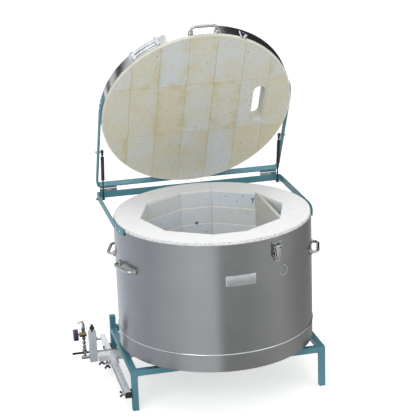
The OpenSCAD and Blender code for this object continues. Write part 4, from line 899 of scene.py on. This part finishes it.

# a ring of paper on the floor, toned by direction and glowing like the floor, a dark sheet under the burner
# set as painted shade there, and black cards that stand behind; only mirrors and satin steel see them, so
# they only paint reflections
ringPaper = {"tones": ((0, "9A9995"), (30, "8A8986"), (75, "C0C4CC"), (131, "E2E7F0"), (187, "C6CACF"),
                       (235, "ECEDED"), (257, "ECEDED"), (264, "A3A2A0"), (290, "A6A5A2"), (326, "C4C2BF"),
                       (360, "9A9995")), "inner": 0.55, "outer": 3.6, "steps": 72, "high": 1 * mm}
# corners in x and y from the kiln's axis
paintedShadeSheet = {"x": (-0.64, -0.10), "y": (-0.50, 0.42), "high": 1.5 * mm, "tone": "4A4850"}
cardTone = "1C1C1C"
# each card: from and to in degrees, distance from the axis, height
uprights = {"blackCard": (20, 72, 3.4, 6.4), "slatA": (98, 104, 3.0, 1.9), "slatB": (108, 113, 3.0, 1.7),
            "slatC": (118, 122, 3.0, 2.4), "slatD": (126, 130, 3.0, 2.8), "slatE": (134, 139, 3.0, 3.0)}


def fanPoint(r, deg, z):
    return axis + Vector((r * math.cos(math.radians(deg)), r * math.sin(math.radians(deg)), z))


ringFinish, tree, skin = newFinish("ringPaper")
at = addNode(tree, "TexCoord", {}).outputs["Object"]
spot = addNode(tree, "VectorMath", {"operation": "SUBTRACT", 0: at, 1: axis})
part = addNode(tree, "SeparateXYZ", {0: spot})
angle = addNode(tree, "Math", {"operation": "ARCTAN2", 0: part.outputs["Y"], 1: part.outputs["X"]})
turns = addNode(tree, "Math", {"operation": "DIVIDE", 0: angle, 1: fullTurn})
share = addNode(tree, "Math", {"operation": "FRACT", 0: turns})
ramp = addNode(tree, "ValToRGB", {0: share})
stops = ramp.color_ramp.elements
while len(stops) < len(ringPaper["tones"]):
    stops.new(0.5)
for stop, (deg, tone) in zip(stops, ringPaper["tones"]):
    stop.position = deg / 360
    stop.color = colour(tone)
addNode(tree, skin, {"Base Color": ramp, "Roughness": studio["paperRough"], "Emission Color": ramp,
                     "Emission Strength": studio["floorLift"]})
sheetFinish, tree, skin = newFinish("paintedShadeSheet")
addNode(tree, skin, {"Base Color": paintedShadeSheet["tone"], "Roughness": studio["paperRough"]})
cardFinish, tree, skin = newFinish("blackCard")
addNode(tree, skin, {"Base Color": cardTone, "Roughness": studio["paperRough"]})

steps = ringPaper["steps"]
inner, outer = ([fanPoint(ringPaper[k], 360 / steps * s, ringPaper["high"]) for s in range(steps)]
                for k in ("inner", "outer"))
ringFaces = [(inner[s - 1], inner[s], outer[s], outer[s - 1]) for s in range(steps)]
(west, east), (south, north) = paintedShadeSheet["x"], paintedShadeSheet["y"]
sheetFace = [axis + Vector((x, y, paintedShadeSheet["high"]))
             for x, y in ((west, south), (east, south), (east, north), (west, north))]
cards = {"ringPaper": (ringFinish, ringFaces), "paintedShadeSheet": (sheetFinish, [sheetFace])}
for name, (first, last, r, high) in uprights.items():
    cards[name] = (cardFinish, [(fanPoint(r, first, 0), fanPoint(r, last, 0), fanPoint(r, last, high),
                                 fanPoint(r, first, high))])
for name, (finish, faces) in cards.items():
    bm = bmesh.new()
    for corners in faces:
        bm.faces.new([bm.verts.new(corner) for corner in corners])
    cardObject = linkMesh(name, bm, finish)
    cardObject.visible_camera = False
    cardObject.visible_diffuse = False
    cardObject.visible_shadow = False
    cardObject.visible_transmission = False
print("studio set")
